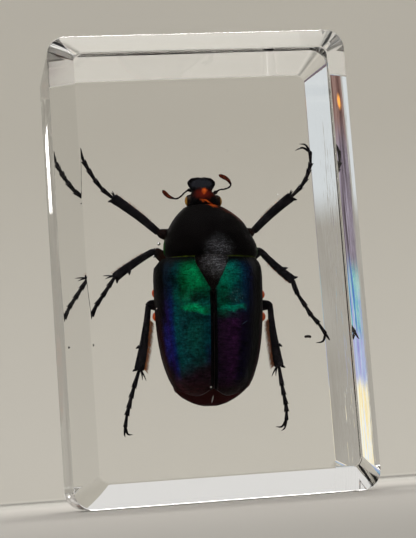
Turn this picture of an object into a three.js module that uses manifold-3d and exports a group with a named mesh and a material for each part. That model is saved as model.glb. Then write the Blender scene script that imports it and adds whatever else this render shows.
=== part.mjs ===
// A flower chafer cast in a clear resin block that stands on its short end.
// Millimetres, +Z up. The beetle's back faces -Y and its head points up.
// The block is parted into a front and a back half round a pocket for the beetle.

import * as THREE from 'three';
import { mergeVertices } from 'three/addons/utils/BufferGeometryUtils.js';
import Module from 'manifold-3d';

const wasm = await Module();
wasm.setup();

// ---------------------------------------------------------------- dimensions

const BLOCK = {
  width: 28.8,
  depth: 17.0,
  height: 44.4,
  bevel: 2.2, // 45 degree bevel round the front and the back face
  cornerRadius: 1.8, // of the four long corners
  faceCornerRadius: 0.9, // of the bevelled faces' own corners
  cornerSteps: 3,
  partingY: 0.9, // plane of the feet, where the two halves meet
  partingGap: 0.1,
};

// Where the beetle sits in the block, and how far it leans.
const SPECIMEN = { x: -0.1, y: 0, z: 19.9, leanDegrees: 2.35 };

const FIT = {
  pieceGap: 0.1, // between one body piece and the next
  pocket: 0.3, // between the beetle and the resin halves
  hipRoom: 0.3, // share of the thigh by which its channel starts behind the hip
};

// Body sections from tail to head: [z, half width, rise to the back, drop to the belly].
// Rise and drop are measured from the level of the piece's side edge.
const ROUNDNESS = 0.86;

const WING_CASE = {
  edgeY: 0.6,
  thickness: 0.42,
  rim: 0.34,
  //  z, half width, rise, inner edge
  sections: [
    [-10.05, 2.75, 1.25, 1.75],
    [-9.85, 3.0, 1.65, 1.15],
    [-9.45, 3.35, 2.15, 0.3],
    [-8.7, 3.85, 2.85, 0.05],
    [-7.5, 4.35, 3.45, 0.05],
    [-5.4, 4.85, 4.1, 0.05],
    [-3.0, 5.12, 4.5, 0.05],
    [-0.45, 5.22, 4.55, 0.05],
    [0.6, 5.24, 4.48, 0.77],
    [1.5, 5.24, 4.35, 1.24],
    [2.4, 5.1, 4.05, 1.68],
    [3.05, 4.8, 3.7, 1.7],
  ],
};

const SCUTELLUM = {
  tipZ: -0.35,
  baseZ: 3.05,
  shoulderZ: 2.45,
  halfWidth: 1.6,
  thickness: 0.5,
  proud: 0.06,
};

const UNDERBODY = {
  //  z, half width, rise, drop
  sections: [
    [-10.95, 0.9, 0.1, 0.25],
    [-10.6, 1.65, 0.4, 0.75],
    [-10.1, 2.2, 0.75, 1.2],
    [-9.3, 2.75, 1.35, 1.7],
    [-8.35, 3.35, 2.2, 2.15],
    [-8.3, 3.35, 2.2, 2.02],
    [-6.95, 3.95, 2.9, 2.55],
    [-6.9, 3.95, 2.9, 2.42],
    [-5.45, 4.3, 3.4, 2.85],
    [-5.4, 4.3, 3.4, 2.72],
    [-3.75, 4.55, 3.85, 3.0],
    [-3.7, 4.55, 3.85, 2.87],
    [-1.8, 4.68, 3.95, 3.15],
    [0.6, 4.7, 3.85, 3.3],
    [2.2, 4.5, 3.55, 3.0],
    [3.05, 4.1, 3.1, 2.6],
  ],
};

const PRONOTUM = {
  edgeY: 0.35,
  sections: [
    [3.2, 4.25, 3.5, 2.1],
    [3.45, 4.45, 3.75, 2.35],
    [4.2, 4.5, 3.8, 2.5],
    [5.0, 4.3, 3.6, 2.5],
    [5.9, 3.85, 3.15, 2.3],
    [6.8, 3.2, 2.5, 1.95],
    [7.5, 2.45, 1.85, 1.5],
    [7.95, 1.7, 1.3, 1.1],
  ],
};

const HEAD = {
  x: -0.15,
  edgeY: 0.4,
  sections: [
    [8.05, 1.45, 1.1, 1.0],
    [8.7, 1.52, 1.15, 1.1],
    [9.3, 1.32, 0.95, 0.95],
    [9.75, 1.07, 0.72, 0.7],
    [10.1, 1.2, 0.55, 0.5],
    [10.45, 1.38, 0.42, 0.35],
    [10.75, 1.22, 0.3, 0.22],
    [10.94, 0.8, 0.16, 0.12],
  ],
  eye: { x: 1.5, z: 8.68, radii: [0.36, 0.42, 0.5] },
};

// Antennae: joints of the stalk [x, z] and the two ends of the club.
const ANTENNAE = {
  left: { stalk: [[-1.55, 9.75], [-2.3, 9.2], [-3.1, 9.0], [-3.4, 9.15]], club: [[-3.3, 9.1], [-4.2, 9.8]] },
  right: { stalk: [[1.3, 9.7], [2.0, 9.85], [2.5, 10.3], [2.45, 10.65]], club: [[2.5, 10.55], [1.4, 11.3]] },
  y: 0.75,
  stalkRadius: 0.1,
  leafRadii: [0.12, 0.2],
  leafSpread: 0.17,
};

// Legs: joints in the order hip, knee, ankle, then the ends of the five foot joints.
// Each joint is [x, y, z]; claws are the two claw tips; teeth stand on the outer edge of the shin.
const LEGS = {
  leg_front_left: {
    hip: [-1.3, 2.9, 5.2], knee: [-4.4, 1.4, 5.6], ankle: [-9.0, 0.9, 9.2],
    foot: [
      [-9.9, 0.85, 9.95], [-10.6, 0.8, 10.8], [-11.2, 0.8, 11.75],
      [-11.7, 0.8, 12.5], [-12.1, 0.8, 13.7],
    ],
    claws: [[-12.9, 0.95, 14.2], [-11.9, 0.7, 14.5]],
    shin: [0.3, 0.45], outer: 1, teeth: [0.78, 0.97],
  },
  leg_front_right: {
    hip: [1.3, 2.9, 5.2], knee: [4.6, 1.4, 5.85], ankle: [8.65, 0.9, 9.3],
    foot: [
      [9.55, 0.85, 10.2], [10.1, 0.85, 11.0], [10.4, 0.8, 11.85],
      [10.6, 0.8, 12.5], [10.6, 0.8, 13.7],
    ],
    claws: [[9.1, 0.8, 13.8], [9.6, 1.05, 14.5]],
    shin: [0.3, 0.45], outer: -1, teeth: [0.78, 0.97],
  },
  leg_middle_left: {
    hip: [-1.4, 3.4, 1.6], knee: [-5.0, 1.4, 4.05], ankle: [-9.0, 0.95, 1.4],
    foot: [
      [-9.5, 0.95, 0.65], [-10.1, 0.9, -0.25], [-10.7, 0.9, -1.1],
      [-11.2, 0.9, -2.1], [-11.9, 0.9, -3.6],
    ],
    claws: [[-12.7, 1.05, -4.3], [-11.6, 0.75, -4.6]],
    shin: [0.3, 0.42], outer: 1, teeth: [0.95],
  },
  leg_middle_right: {
    hip: [1.4, 3.4, 1.6], knee: [5.3, 1.4, 4.0], ankle: [8.45, 0.95, 0.95],
    foot: [
      [8.75, 0.95, -0.3], [9.5, 0.95, -1.5], [10.0, 0.9, -2.4],
      [10.7, 0.9, -3.2], [11.4, 0.9, -4.3],
    ],
    claws: [[10.4, 0.75, -5.15], [11.8, 1.05, -4.9]],
    shin: [0.3, 0.42], outer: 1, teeth: [0.95],
  },
  leg_hind_left: {
    hip: [-1.6, 3.6, -1.3], knee: [-5.75, 1.4, -1.15], ankle: [-6.85, 1.05, -7.5],
    foot: [
      [-7.35, 1.0, -9.0], [-7.65, 1.0, -9.95], [-7.9, 0.95, -10.9],
      [-8.1, 0.95, -11.6], [-8.3, 0.9, -12.8],
    ],
    claws: [[-7.6, 0.9, -13.5], [-8.3, 1.1, -13.7]],
    shin: [0.27, 0.48], outer: -1, teeth: [0.97],
  },
  leg_hind_right: {
    hip: [1.6, 3.6, -1.3], knee: [6.1, 1.4, -1.35], ankle: [6.7, 1.05, -7.4],
    foot: [
      [6.9, 1.0, -9.1], [7.05, 1.0, -10.0], [7.2, 0.95, -10.9],
      [7.25, 0.95, -11.6], [7.2, 0.9, -12.5],
    ],
    claws: [[6.15, 0.9, -13.1], [6.7, 1.1, -13.5]],
    shin: [0.27, 0.48], outer: 1, teeth: [0.97],
  },
};

const LEG_SHAPE = {
  hipRadii: [0.8, 0.55, 0.62],
  thighWide: [0.55, 0.78, 0.42],
  thighDeep: [0.42, 0.5, 0.34],
  shinDepth: 0.27,
  tooth: { length: 0.5, radius: 0.16 },
  spur: { length: 0.95, radius: 0.1, spread: 0.3 },
  footRadius: [0.13, 0.25],
  lastFootRadius: [0.12, 0.18],
  clawRadius: 0.1,
  spikeTip: 0.03,
};

const SIDES = { body: 20, pocket: 14, edge: 9, shin: 8, foot: 5, spike: 4, claw: 4 };

// ------------------------------------------------------------------- helpers

const vec = (x, y, z) => new THREE.Vector3(x, y, z);
const at = (joint) => vec(joint[0], joint[1], joint[2]);

// Closed solid through rings of equal length, with a flat fan on each end.
function loft(rings) {
  const sides = rings[0].length;
  const points = rings.flat();
  const faces = [];
  for (let r = 0; r < rings.length - 1; r += 1) {
    for (let s = 0; s < sides; s += 1) {
      const a = r * sides + s;
      const b = r * sides + ((s + 1) % sides);
      faces.push(a, b, b + sides, a, b + sides, a + sides);
    }
  }
  for (const [row, flip] of [[0, true], [rings.length - 1, false]]) {
    const middle = new THREE.Vector3();
    rings[row].forEach((point) => middle.add(point));
    points.push(middle.divideScalar(sides));
    for (let s = 0; s < sides; s += 1) {
      const a = row * sides + s;
      const b = row * sides + ((s + 1) % sides);
      faces.push(...(flip ? [b, a, points.length - 1] : [a, b, points.length - 1]));
    }
  }
  return facingOut(points, faces);
}

// Builds the geometry and turns its faces outward.
function facingOut(points, faces) {
  let volume = 0;
  for (let f = 0; f < faces.length; f += 3) {
    const [a, b, c] = [points[faces[f]], points[faces[f + 1]], points[faces[f + 2]]];
    volume += a.dot(b.clone().cross(c));
  }
  if (volume < 0) {
    faces.reverse();
  }
  const geometry = new THREE.BufferGeometry().setFromPoints(points);
  geometry.setIndex(faces);
  return geometry;
}

// Oval rod along a line of joints. Each radius is [in the leg's plane, front to back].
function rod(joints, radii, sides) {
  const rings = joints.map((joint, i) => {
    const before = joints[Math.max(i - 1, 0)];
    const after = joints[Math.min(i + 1, joints.length - 1)];
    const along = after.clone().sub(before).normalize();
    const across = along.clone().cross(vec(0, 1, 0)).normalize();
    const deep = across.clone().cross(along);
    return Array.from({ length: sides }, (_, s) => {
      const turn = (2 * Math.PI * (s + 0.5)) / sides;
      return joint.clone()
        .addScaledVector(across, radii[i][0] * Math.cos(turn))
        .addScaledVector(deep, radii[i][1] * Math.sin(turn));
    });
  });
  return loft(rings);
}

const round = (radius) => [radius, radius];

function spike(from, to, radius) {
  return rod([from, to], [round(radius), round(LEG_SHAPE.spikeTip)], SIDES.spike);
}

function toSolid(geometry) {
  const mesh = new wasm.Mesh({
    numProp: 3,
    vertProperties: new Float32Array(geometry.attributes.position.array),
    triVerts: new Uint32Array(geometry.index.array),
  });
  return new wasm.Manifold(mesh);
}

function toGeometry(solid) {
  const mesh = solid.getMesh();
  const geometry = new THREE.BufferGeometry();
  geometry.setAttribute('position', new THREE.BufferAttribute(new Float32Array(mesh.vertProperties), 3));
  geometry.setIndex(new THREE.BufferAttribute(new Uint32Array(mesh.triVerts), 1));
  return geometry;
}

const fuse = (geometries) => geometries.map(toSolid).reduce((whole, next) => whole.add(next));

function piece(name, geometry, colour, roughness, metalness = 0) {
  const shaded = geometry.clone();
  shaded.computeVertexNormals();
  const material = new THREE.MeshStandardMaterial({ color: colour, roughness, metalness });
  const mesh = new THREE.Mesh(shaded, material);
  mesh.name = name;
  return mesh;
}

// Value of a column of a section table at height z.
function sectionAt(sections, z, column) {
  const last = sections.length - 1;
  if (z <= sections[0][0]) {
    return sections[0][column];
  }
  if (z >= sections[last][0]) {
    return sections[last][column];
  }
  const i = sections.findIndex((row) => row[0] > z);
  const [low, high] = [sections[i - 1], sections[i]];
  return THREE.MathUtils.mapLinear(z, low[0], high[0], low[column], high[column]);
}

const bulge = (value) => Math.sign(value) * Math.abs(value) ** ROUNDNESS;

// ------------------------------------------------------------------ the body

// Full oval section: rises to the back (-Y) and drops to the belly (+Y).
function bodyRing(x, edgeY, [z, halfWidth, rise, drop], grow, sides) {
  return Array.from({ length: sides }, (_, s) => {
    const turn = (2 * Math.PI * s) / sides;
    const side = (halfWidth + grow) * bulge(Math.cos(turn));
    const lift = bulge(Math.sin(turn));
    const reach = lift > 0 ? rise + grow : drop + grow;
    return vec(x + side, edgeY - reach * lift, z);
  });
}

function bodyLoft(x, edgeY, sections, grow = 0, sides = SIDES.body) {
  const rings = sections.map((row) => bodyRing(x, edgeY, row, grow, sides));
  if (grow > 0) {
    rings[0].forEach((point) => { point.z -= grow; });
    rings[rings.length - 1].forEach((point) => { point.z += grow; });
  }
  return loft(rings);
}

// Arc of a wing-case section from its inner edge out to its side.
function wingArc(side, z, innerX, halfWidth, rise) {
  const start = Math.acos(Math.min(innerX / halfWidth, 1) ** (1 / ROUNDNESS));
  return Array.from({ length: SIDES.edge }, (_, s) => {
    const turn = start * (1 - s / (SIDES.edge - 1));
    const x = halfWidth * bulge(Math.cos(turn));
    return vec(side * x, WING_CASE.edgeY - rise * bulge(Math.sin(turn)), z);
  });
}

function wingCase(side) {
  const rings = WING_CASE.sections.map(([z, halfWidth, rise, innerX]) => {
    const outer = wingArc(side, z, innerX, halfWidth, rise);
    const inner = wingArc(side, z, innerX, halfWidth - WING_CASE.rim, rise - WING_CASE.thickness);
    return [...outer, ...inner.reverse()];
  });
  return loft(rings);
}

// Triangular plate that follows the wing cases and stands a little proud of them.
function scutellum() {
  const heights = [SCUTELLUM.tipZ + 0.15, 0.5, 1.5, SCUTELLUM.shoulderZ, SCUTELLUM.baseZ];
  const rings = heights.map((z) => {
    const share = Math.min((z - SCUTELLUM.tipZ) / (SCUTELLUM.shoulderZ - SCUTELLUM.tipZ), 1);
    const halfWidth = SCUTELLUM.halfWidth * share ** 0.9 - FIT.pieceGap / 2;
    const rise = sectionAt(WING_CASE.sections, z, 2);
    const spread = sectionAt(WING_CASE.sections, z, 1);
    const top = [-1, -0.5, 0, 0.5, 1].map((part) => {
      const x = halfWidth * part;
      const lift = Math.sin(Math.acos((Math.abs(x) / spread) ** (1 / ROUNDNESS))) ** ROUNDNESS;
      return vec(x, WING_CASE.edgeY - rise * lift - SCUTELLUM.proud, z);
    });
    const bottom = [top[4], top[2], top[0]].map((point) => point.clone().add(vec(0, SCUTELLUM.thickness, 0)));
    return [...top, ...bottom];
  });
  return loft(rings);
}

function oval(centre, radii, across = 8, down = 5) {
  const ball = new THREE.SphereGeometry(1, across, down);
  ball.deleteAttribute('normal');
  ball.deleteAttribute('uv');
  return mergeVertices(ball.scale(...radii).translate(...centre));
}

function head() {
  const { x, edgeY, eye } = HEAD;
  const eyes = [-1, 1].map((side) => oval([x + side * eye.x, edgeY, eye.z], eye.radii, 8, 6));
  return fuse([bodyLoft(x, edgeY, HEAD.sections), ...eyes]);
}

function antenna({ stalk, club }) {
  const { y, stalkRadius, leafRadii, leafSpread } = ANTENNAE;
  const joints = stalk.map(([x, z]) => vec(x, y, z));
  const [base, tip] = club.map(([x, z]) => vec(x, y, z));
  const middle = base.clone().lerp(tip, 0.5);
  const across = tip.clone().sub(base).normalize().cross(vec(0, 1, 0));
  const leaves = [-1, 0, 1].map((order) => {
    const line = [base.clone(), middle.clone(), tip.clone()];
    line[1].addScaledVector(across, order * leafSpread);
    line[2].addScaledVector(across, order * leafSpread * 1.3);
    return rod(line, [round(leafRadii[0] * 0.7), leafRadii, round(leafRadii[0] * 0.6)], SIDES.foot);
  });
  return fuse([rod(joints, joints.map(() => round(stalkRadius)), SIDES.foot), ...leaves]);
}

// ------------------------------------------------------------------ the legs

// Curved claw from the last foot joint to its tip, bowed to one side.
function claw(from, to, bow) {
  const line = to.clone().sub(from);
  const out = line.clone().cross(vec(0, 1, 0)).normalize();
  const bend = from.clone().lerp(to, 0.55).addScaledVector(out, bow * line.length() * 0.3);
  const path = new THREE.QuadraticBezierCurve3(from, bend, to).getPoints(3);
  const radii = path.map((_, i) => round(LEG_SHAPE.clawRadius * (1 - i / path.length)));
  return rod(path, radii, SIDES.claw);
}

function leg(shape) {
  const [hip, knee, ankle] = [shape.hip, shape.knee, shape.ankle].map(at);
  const foot = shape.foot.map(at);
  const [thinShin, wideShin] = shape.shin;
  const along = ankle.clone().sub(knee).normalize();
  const outward = along.clone().cross(vec(0, 1, 0)).normalize().multiplyScalar(shape.outer);
  const thigh = rod(
    [hip, hip.clone().lerp(knee, 0.5), knee],
    LEG_SHAPE.thighWide.map((wide, i) => [wide, LEG_SHAPE.thighDeep[i]]),
    SIDES.shin,
  );
  const hipJoint = oval(shape.hip, LEG_SHAPE.hipRadii);
  const shin = rod(
    [knee, knee.clone().lerp(ankle, 0.3), knee.clone().lerp(ankle, 0.75), ankle],
    [thinShin, thinShin, wideShin * 0.9, wideShin].map((wide) => [wide, LEG_SHAPE.shinDepth]),
    SIDES.shin,
  );
  const teeth = shape.teeth.map((share) => {
    const root = knee.clone().lerp(ankle, share).addScaledVector(outward, wideShin * 0.6);
    const reach = outward.clone().addScaledVector(along, 0.6).normalize();
    return spike(root, root.clone().addScaledVector(reach, LEG_SHAPE.tooth.length), LEG_SHAPE.tooth.radius);
  });
  const spurs = [0.35, 1].map((turn) => {
    const root = ankle.clone().addScaledVector(outward, -wideShin * 0.6).addScaledVector(along, -0.1);
    const reach = along.clone().addScaledVector(outward, -LEG_SHAPE.spur.spread * turn).normalize();
    const length = LEG_SHAPE.spur.length * (1.2 - 0.4 * turn);
    return spike(root, root.clone().addScaledVector(reach, length), LEG_SHAPE.spur.radius);
  });
  const joints = [ankle, ...foot];
  const toes = foot.map((end, i) => {
    const start = joints[i].clone().lerp(end, -0.1);
    const [thin, wide] = i === foot.length - 1 ? LEG_SHAPE.lastFootRadius : LEG_SHAPE.footRadius;
    return rod([start, end], [thin, wide].map(round), SIDES.foot);
  });
  const tip = foot[foot.length - 1];
  const claws = shape.claws.map((end, i) => claw(tip, at(end), i === 0 ? -shape.outer : shape.outer));
  return fuse([hipJoint, thigh, shin, ...teeth, ...spurs, ...toes, ...claws]);
}

// Square channel round a leg, wide enough for its hip, teeth, spurs and claws.
function legChannel(shape) {
  const joints = [shape.hip, shape.knee, shape.ankle, ...shape.foot].map(at);
  joints[0].lerp(joints[1], -FIT.hipRoom);
  const last = joints[joints.length - 1];
  const clawMiddle = at(shape.claws[0]).lerp(at(shape.claws[1]), 0.5);
  const end = last.clone().lerp(clawMiddle, 1.6);
  const clawSpan = at(shape.claws[0]).distanceTo(at(shape.claws[1])) / 2;
  const wide = joints.map((_, i) => {
    if (i < 2) {
      return 0.95;
    }
    return i === 2 ? 1.25 : 0.75;
  });
  wide[wide.length - 1] = clawSpan + 0.4;
  const deep = joints.map((_, i) => (i < 2 ? 0.95 : 0.6));
  const halves = [...wide, clawSpan + 0.55].map((half, i) => [half, deep[i] ?? 0.6]);
  const corners = halves.map((half) => half.map((size) => size * Math.SQRT2));
  return rod([...joints, end], corners, 4);
}

// ------------------------------------------------------------------ assembly

const closedWings = (drop) => WING_CASE.sections.map(([z, halfWidth, rise]) => [z, halfWidth, rise, drop]);

const bodyClearance = fuse([
  bodyLoft(0, PRONOTUM.edgeY, PRONOTUM.sections, FIT.pieceGap),
  bodyLoft(0, WING_CASE.edgeY, UNDERBODY.sections, FIT.pieceGap),
  bodyLoft(0, WING_CASE.edgeY, closedWings(0.2), FIT.pieceGap),
]);

const specimen = new THREE.Group();
specimen.name = 'beetle';
specimen.position.set(SPECIMEN.x, SPECIMEN.y, SPECIMEN.z);
specimen.rotation.y = THREE.MathUtils.degToRad(SPECIMEN.leanDegrees);
specimen.updateMatrix();

specimen.add(
  piece('head', toGeometry(head()), 0x17201a, 0.35),
  piece('antenna_left', toGeometry(antenna(ANTENNAE.left)), 0x3a1710, 0.5),
  piece('antenna_right', toGeometry(antenna(ANTENNAE.right)), 0x3a1710, 0.5),
  piece('pronotum', bodyLoft(0, PRONOTUM.edgeY, PRONOTUM.sections), 0x14251c, 0.4),
  piece('scutellum', scutellum(), 0x101513, 0.4),
  piece('elytron_left', wingCase(-1), 0x0c4a3a, 0.3),
  piece('elytron_right', wingCase(1), 0x2a1030, 0.3),
  piece('underbody', bodyLoft(0, WING_CASE.edgeY, UNDERBODY.sections), 0x1d0f10, 0.45),
);
for (const [name, shape] of Object.entries(LEGS)) {
  specimen.add(piece(name, toGeometry(leg(shape).subtract(bodyClearance)), 0x100c0c, 0.4));
}

// The pocket in the specimen's own frame, then moved into the block.
function pocket() {
  const wholeBody = [
    bodyLoft(0, PRONOTUM.edgeY, PRONOTUM.sections, FIT.pocket, SIDES.pocket),
    bodyLoft(0, WING_CASE.edgeY, WING_CASE.sections.map(([z, halfWidth, rise]) => (
      [z, halfWidth, rise + SCUTELLUM.proud, sectionAt(UNDERBODY.sections, z, 3)]
    )), FIT.pocket, SIDES.pocket),
    bodyLoft(0, WING_CASE.edgeY, UNDERBODY.sections.slice(0, 4), FIT.pocket, SIDES.pocket),
    bodyLoft(HEAD.x, HEAD.edgeY, [
      [8.05, 1.95, 1.2, 1.2],
      [9.2, 1.9, 1.2, 1.2],
      [9.6, 1.5, 0.8, 0.8],
      [10.94, 1.4, 0.5, 0.5],
    ], FIT.pocket, SIDES.pocket),
  ];
  const antennae = [ANTENNAE.left, ANTENNAE.right].map(({ stalk, club }) => {
    const line = [...stalk.slice(0, 3), club[0], club[1]].map(([x, z]) => vec(x, ANTENNAE.y, z));
    return rod(line, [0.7, 0.7, 0.7, 0.8, 0.9].map(round), 4);
  });
  const legs = Object.values(LEGS).map(legChannel);
  const turn = SPECIMEN.leanDegrees;
  return fuse([...wholeBody, ...antennae, ...legs])
    .rotate([0, turn, 0])
    .translate([SPECIMEN.x, SPECIMEN.y, SPECIMEN.z]);
}

// Outline of the block at one depth: a rectangle with rounded corners.
function blockRing(y, inset, radius) {
  const halfWidth = BLOCK.width / 2 - inset - radius;
  const halfHeight = BLOCK.height / 2 - inset - radius;
  const corners = [[1, 1], [-1, 1], [-1, -1], [1, -1]];
  return corners.flatMap(([right, up], quarter) => (
    Array.from({ length: BLOCK.cornerSteps + 1 }, (_, step) => {
      const turn = (Math.PI / 2) * (quarter + step / BLOCK.cornerSteps);
      return vec(
        right * halfWidth + radius * Math.cos(turn),
        y,
        BLOCK.height / 2 + up * halfHeight + radius * Math.sin(turn),
      );
    })
  ));
}

function resinBlock() {
  const face = BLOCK.depth / 2;
  const side = face - BLOCK.bevel;
  return toSolid(loft([
    blockRing(-face, BLOCK.bevel, BLOCK.faceCornerRadius),
    blockRing(-side, 0, BLOCK.cornerRadius),
    blockRing(side, 0, BLOCK.cornerRadius),
    blockRing(face, BLOCK.bevel, BLOCK.faceCornerRadius),
  ]));
}

const block = resinBlock();
const hollow = pocket();
const frontHalf = block.trimByPlane([0, -1, 0], -BLOCK.partingY + BLOCK.partingGap / 2).subtract(hollow);
const backHalf = block.trimByPlane([0, 1, 0], BLOCK.partingY + BLOCK.partingGap / 2).subtract(hollow);

const group = new THREE.Group();
group.name = 'beetle_in_resin';
group.add(
  piece('resin_front', toGeometry(frontHalf), 0xe9ece8, 0.05),
  piece('resin_back', toGeometry(backHalf), 0xe9ece8, 0.05),
  specimen,
);

export default group;
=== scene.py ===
"""A flower chafer cast in a bevelled block of clear resin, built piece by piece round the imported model."""

import math

import bmesh
import bpy
import numpy as np
from bpy.props import FloatProperty, FloatVectorProperty, IntProperty, PointerProperty
from mathutils import Matrix, Vector


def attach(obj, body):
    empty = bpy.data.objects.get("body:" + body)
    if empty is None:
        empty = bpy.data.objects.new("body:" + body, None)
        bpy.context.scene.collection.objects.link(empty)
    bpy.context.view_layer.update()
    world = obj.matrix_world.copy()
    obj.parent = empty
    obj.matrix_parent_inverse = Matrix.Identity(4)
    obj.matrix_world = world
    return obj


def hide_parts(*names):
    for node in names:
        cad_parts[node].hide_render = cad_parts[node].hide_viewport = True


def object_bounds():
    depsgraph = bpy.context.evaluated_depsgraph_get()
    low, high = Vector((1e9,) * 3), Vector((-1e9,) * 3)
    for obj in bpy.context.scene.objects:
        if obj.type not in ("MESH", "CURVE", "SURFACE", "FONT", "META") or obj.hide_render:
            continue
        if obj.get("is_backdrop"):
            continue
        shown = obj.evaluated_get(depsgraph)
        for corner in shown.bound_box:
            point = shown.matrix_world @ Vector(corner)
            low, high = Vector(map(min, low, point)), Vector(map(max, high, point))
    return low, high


bl_info = {
    "name": "Beetle in resin",
    "version": (1, 0, 0),
    "blender": (4, 5, 0),
    "location": "View3D > Sidebar > Resin beetle",
    "description": "Casts a clear resin block and builds the beetle inside it",
    "category": "Object",
}

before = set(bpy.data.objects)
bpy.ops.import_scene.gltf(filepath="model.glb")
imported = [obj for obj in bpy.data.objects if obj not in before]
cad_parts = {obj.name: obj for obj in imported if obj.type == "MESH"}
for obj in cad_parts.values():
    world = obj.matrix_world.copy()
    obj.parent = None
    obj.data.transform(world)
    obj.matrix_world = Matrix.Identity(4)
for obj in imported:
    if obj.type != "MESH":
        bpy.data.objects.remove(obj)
CAD_LOW, CAD_HIGH = (np.array(corner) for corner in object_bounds())
CAD_SIZE = CAD_HIGH - CAD_LOW

MM = 0.001
BODY = "root"
CHITIN_IOR = 1.08

# How the slope over a bevel runs: it turns quickly up to the second share, and again after the third.
SOFT_RUN = (0, 0.06, 0.94, 1)
# Half widths between which the fine streaks near the block's sides come in, and the resin's body colour.
EDGE_STREAKS = (0.0124, 0.0136)
BODY_COLOUR = (0.93, 0.92, 0.86, 1.0)
# Centre in the beetle's frame and radius, in millimetres.
AIR_BUBBLES = (
    (-4.68, 0.2, 4.6, 0.17), (-5.19, 0.1, 3.35, 0.12), (-4.05, -0.3, 2.95, 0.06), (-4.95, 0.5, 4.15, 0.08),
    (4.2, -1.9, -0.6, 0.07), (-2.3, -4.6, 14.5, 0.05), (1.9, -3.1, 13.2, 0.05), (6.8, -2.0, 9.1, 0.06),
    (-5.3, -3.0, -1.9, 0.09),
)

# The beetle's own frame, in millimetres: x across, y towards its belly, z towards its head.
BEETLE_TURN = math.radians(2.35)
BEETLE_CENTRE = (-0.1, 0.0, 19.9)
ROUNDNESS = 0.86

# Sections of the shield and the head: height z, centre x, half width, rise of the back, drop of the belly.
PRONOTUM_EDGE_Y = 0.35
PRONOTUM = (
    (3.05, 0.36, 4.22, 3.50, 2.05), (3.40, 0.36, 4.42, 3.72, 2.35), (4.30, 0.30, 4.48, 3.80, 2.50),
    (5.20, 0.20, 4.19, 3.60, 2.50), (5.90, 0.14, 3.86, 3.20, 2.35), (6.60, 0.12, 3.46, 2.75, 2.10),
    (7.20, 0.03, 2.95, 2.25, 1.75), (7.75, -0.08, 2.32, 1.75, 1.45), (8.10, -0.17, 1.80, 1.42, 1.20),
    (8.32, -0.20, 1.30, 1.15, 0.95),
)
HEAD_EDGE_Y = 0.4
HEAD = (
    (7.90, -0.20, 1.40, 1.05, 1.00), (8.40, -0.21, 1.52, 1.20, 1.05), (8.90, -0.23, 1.44, 1.15, 1.00),
    (9.35, -0.27, 1.22, 0.95, 0.90), (9.72, -0.33, 1.00, 0.74, 0.70), (10.05, -0.34, 1.12, 0.58, 0.52),
    (10.40, -0.35, 1.30, 0.43, 0.36), (10.66, -0.36, 1.27, 0.33, 0.26), (10.86, -0.37, 1.02, 0.24, 0.20),
    (11.00, -0.37, 0.62, 0.14, 0.14), (11.05, -0.37, 0.30, 0.08, 0.08),
)
EYE_SPOTS = (-1.50, 0.30, 8.76), (1.06, 0.30, 8.70)
EYE_RADII = (0.54, 0.52, 0.64)
# Each antenna: the points of its stalk, and x and z of the points of its club.
ANTENNAE = {
    "antenna_left": (
        ((-1.15, 0.7, 9.75), (-1.55, 0.7, 9.88), (-1.95, 0.72, 9.66), (-2.35, 0.75, 9.28),
         (-2.75, 0.75, 9.06), (-3.05, 0.75, 9.05)),
        ((-2.98, 9.06), (-3.45, 9.22), (-4.15, 9.88))),
    "antenna_right": (
        ((0.75, 0.7, 9.45), (1.10, 0.7, 9.68), (1.45, 0.72, 9.90), (1.95, 0.75, 9.98), (2.45, 0.75, 10.2),
         (2.62, 0.75, 10.45)),
        ((2.62, 10.4), (2.35, 10.85), (1.42, 11.4))),
}
CLUB_Y = 0.75
WING_EDGE_Y = 0.6
WING_THICKNESS = 0.36
WING_RIM = 0.32
# Height z, half width, rise, and how far the inner edge stands from the middle line.
WING_CASE = (
    (-10.20, 2.30, 0.90, 0.05), (-9.85, 2.95, 1.60, 0.05), (-9.45, 3.38, 2.15, 0.05),
    (-8.70, 3.87, 2.85, 0.05), (-7.50, 4.36, 3.45, 0.05), (-5.40, 4.86, 4.10, 0.05),
    (-3.00, 5.13, 4.50, 0.05), (-0.45, 5.23, 4.55, 0.05), (0.60, 5.25, 4.48, 0.62),
    (1.50, 5.24, 4.35, 1.08), (2.40, 5.12, 4.05, 1.50), (3.05, 4.85, 3.70, 1.68),
)
# How far down each lateral share of a wing case reaches, and how far up.
WING_APEX = ((0.0, -9.42), (0.15, -9.66), (0.3, -9.88), (0.5, -10.06), (0.62, -10.09), (0.76, -9.98),
             (0.88, -9.76), (0.96, -9.50), (1.0, -9.20))
WING_BASE = ((0.0, 3.02), (0.80, 3.05), (0.90, 2.92), (0.96, 2.70), (1.0, 2.30))
UNDERBODY_EDGE_Y = 0.6
RING_STEP = 1.55
RING_START = 0.35
# Sections of the underbody: height z, half width, rise of the back, drop of the belly.
UNDERBODY = (
    (-10.99, 0.75, 0.25, 0.25), (-10.85, 1.30, 0.50, 0.50), (-10.50, 2.12, 0.80, 0.90),
    (-10.02, 2.90, 1.10, 1.30), (-9.45, 3.46, 1.50, 1.65), (-8.70, 3.72, 2.05, 1.98),
    (-7.60, 3.95, 2.60, 2.30), (-6.00, 4.35, 3.20, 2.70), (-4.00, 4.62, 3.75, 3.00),
    (-1.80, 4.76, 3.95, 3.20), (0.60, 4.76, 3.85, 3.30), (2.20, 4.55, 3.55, 3.05),
    (3.10, 4.15, 3.10, 2.65),
)
SIDE_PLATES = ((-5.05, 0.95, -0.1), (-5.05, 0.95, -2.35), (5.17, 0.95, -0.35), (5.17, 0.95, -2.5))
SCUTELLUM = {"tip": -0.55, "shoulder": 2.45, "base": 3.25, "half_width": 1.56, "thickness": 0.45}

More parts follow.
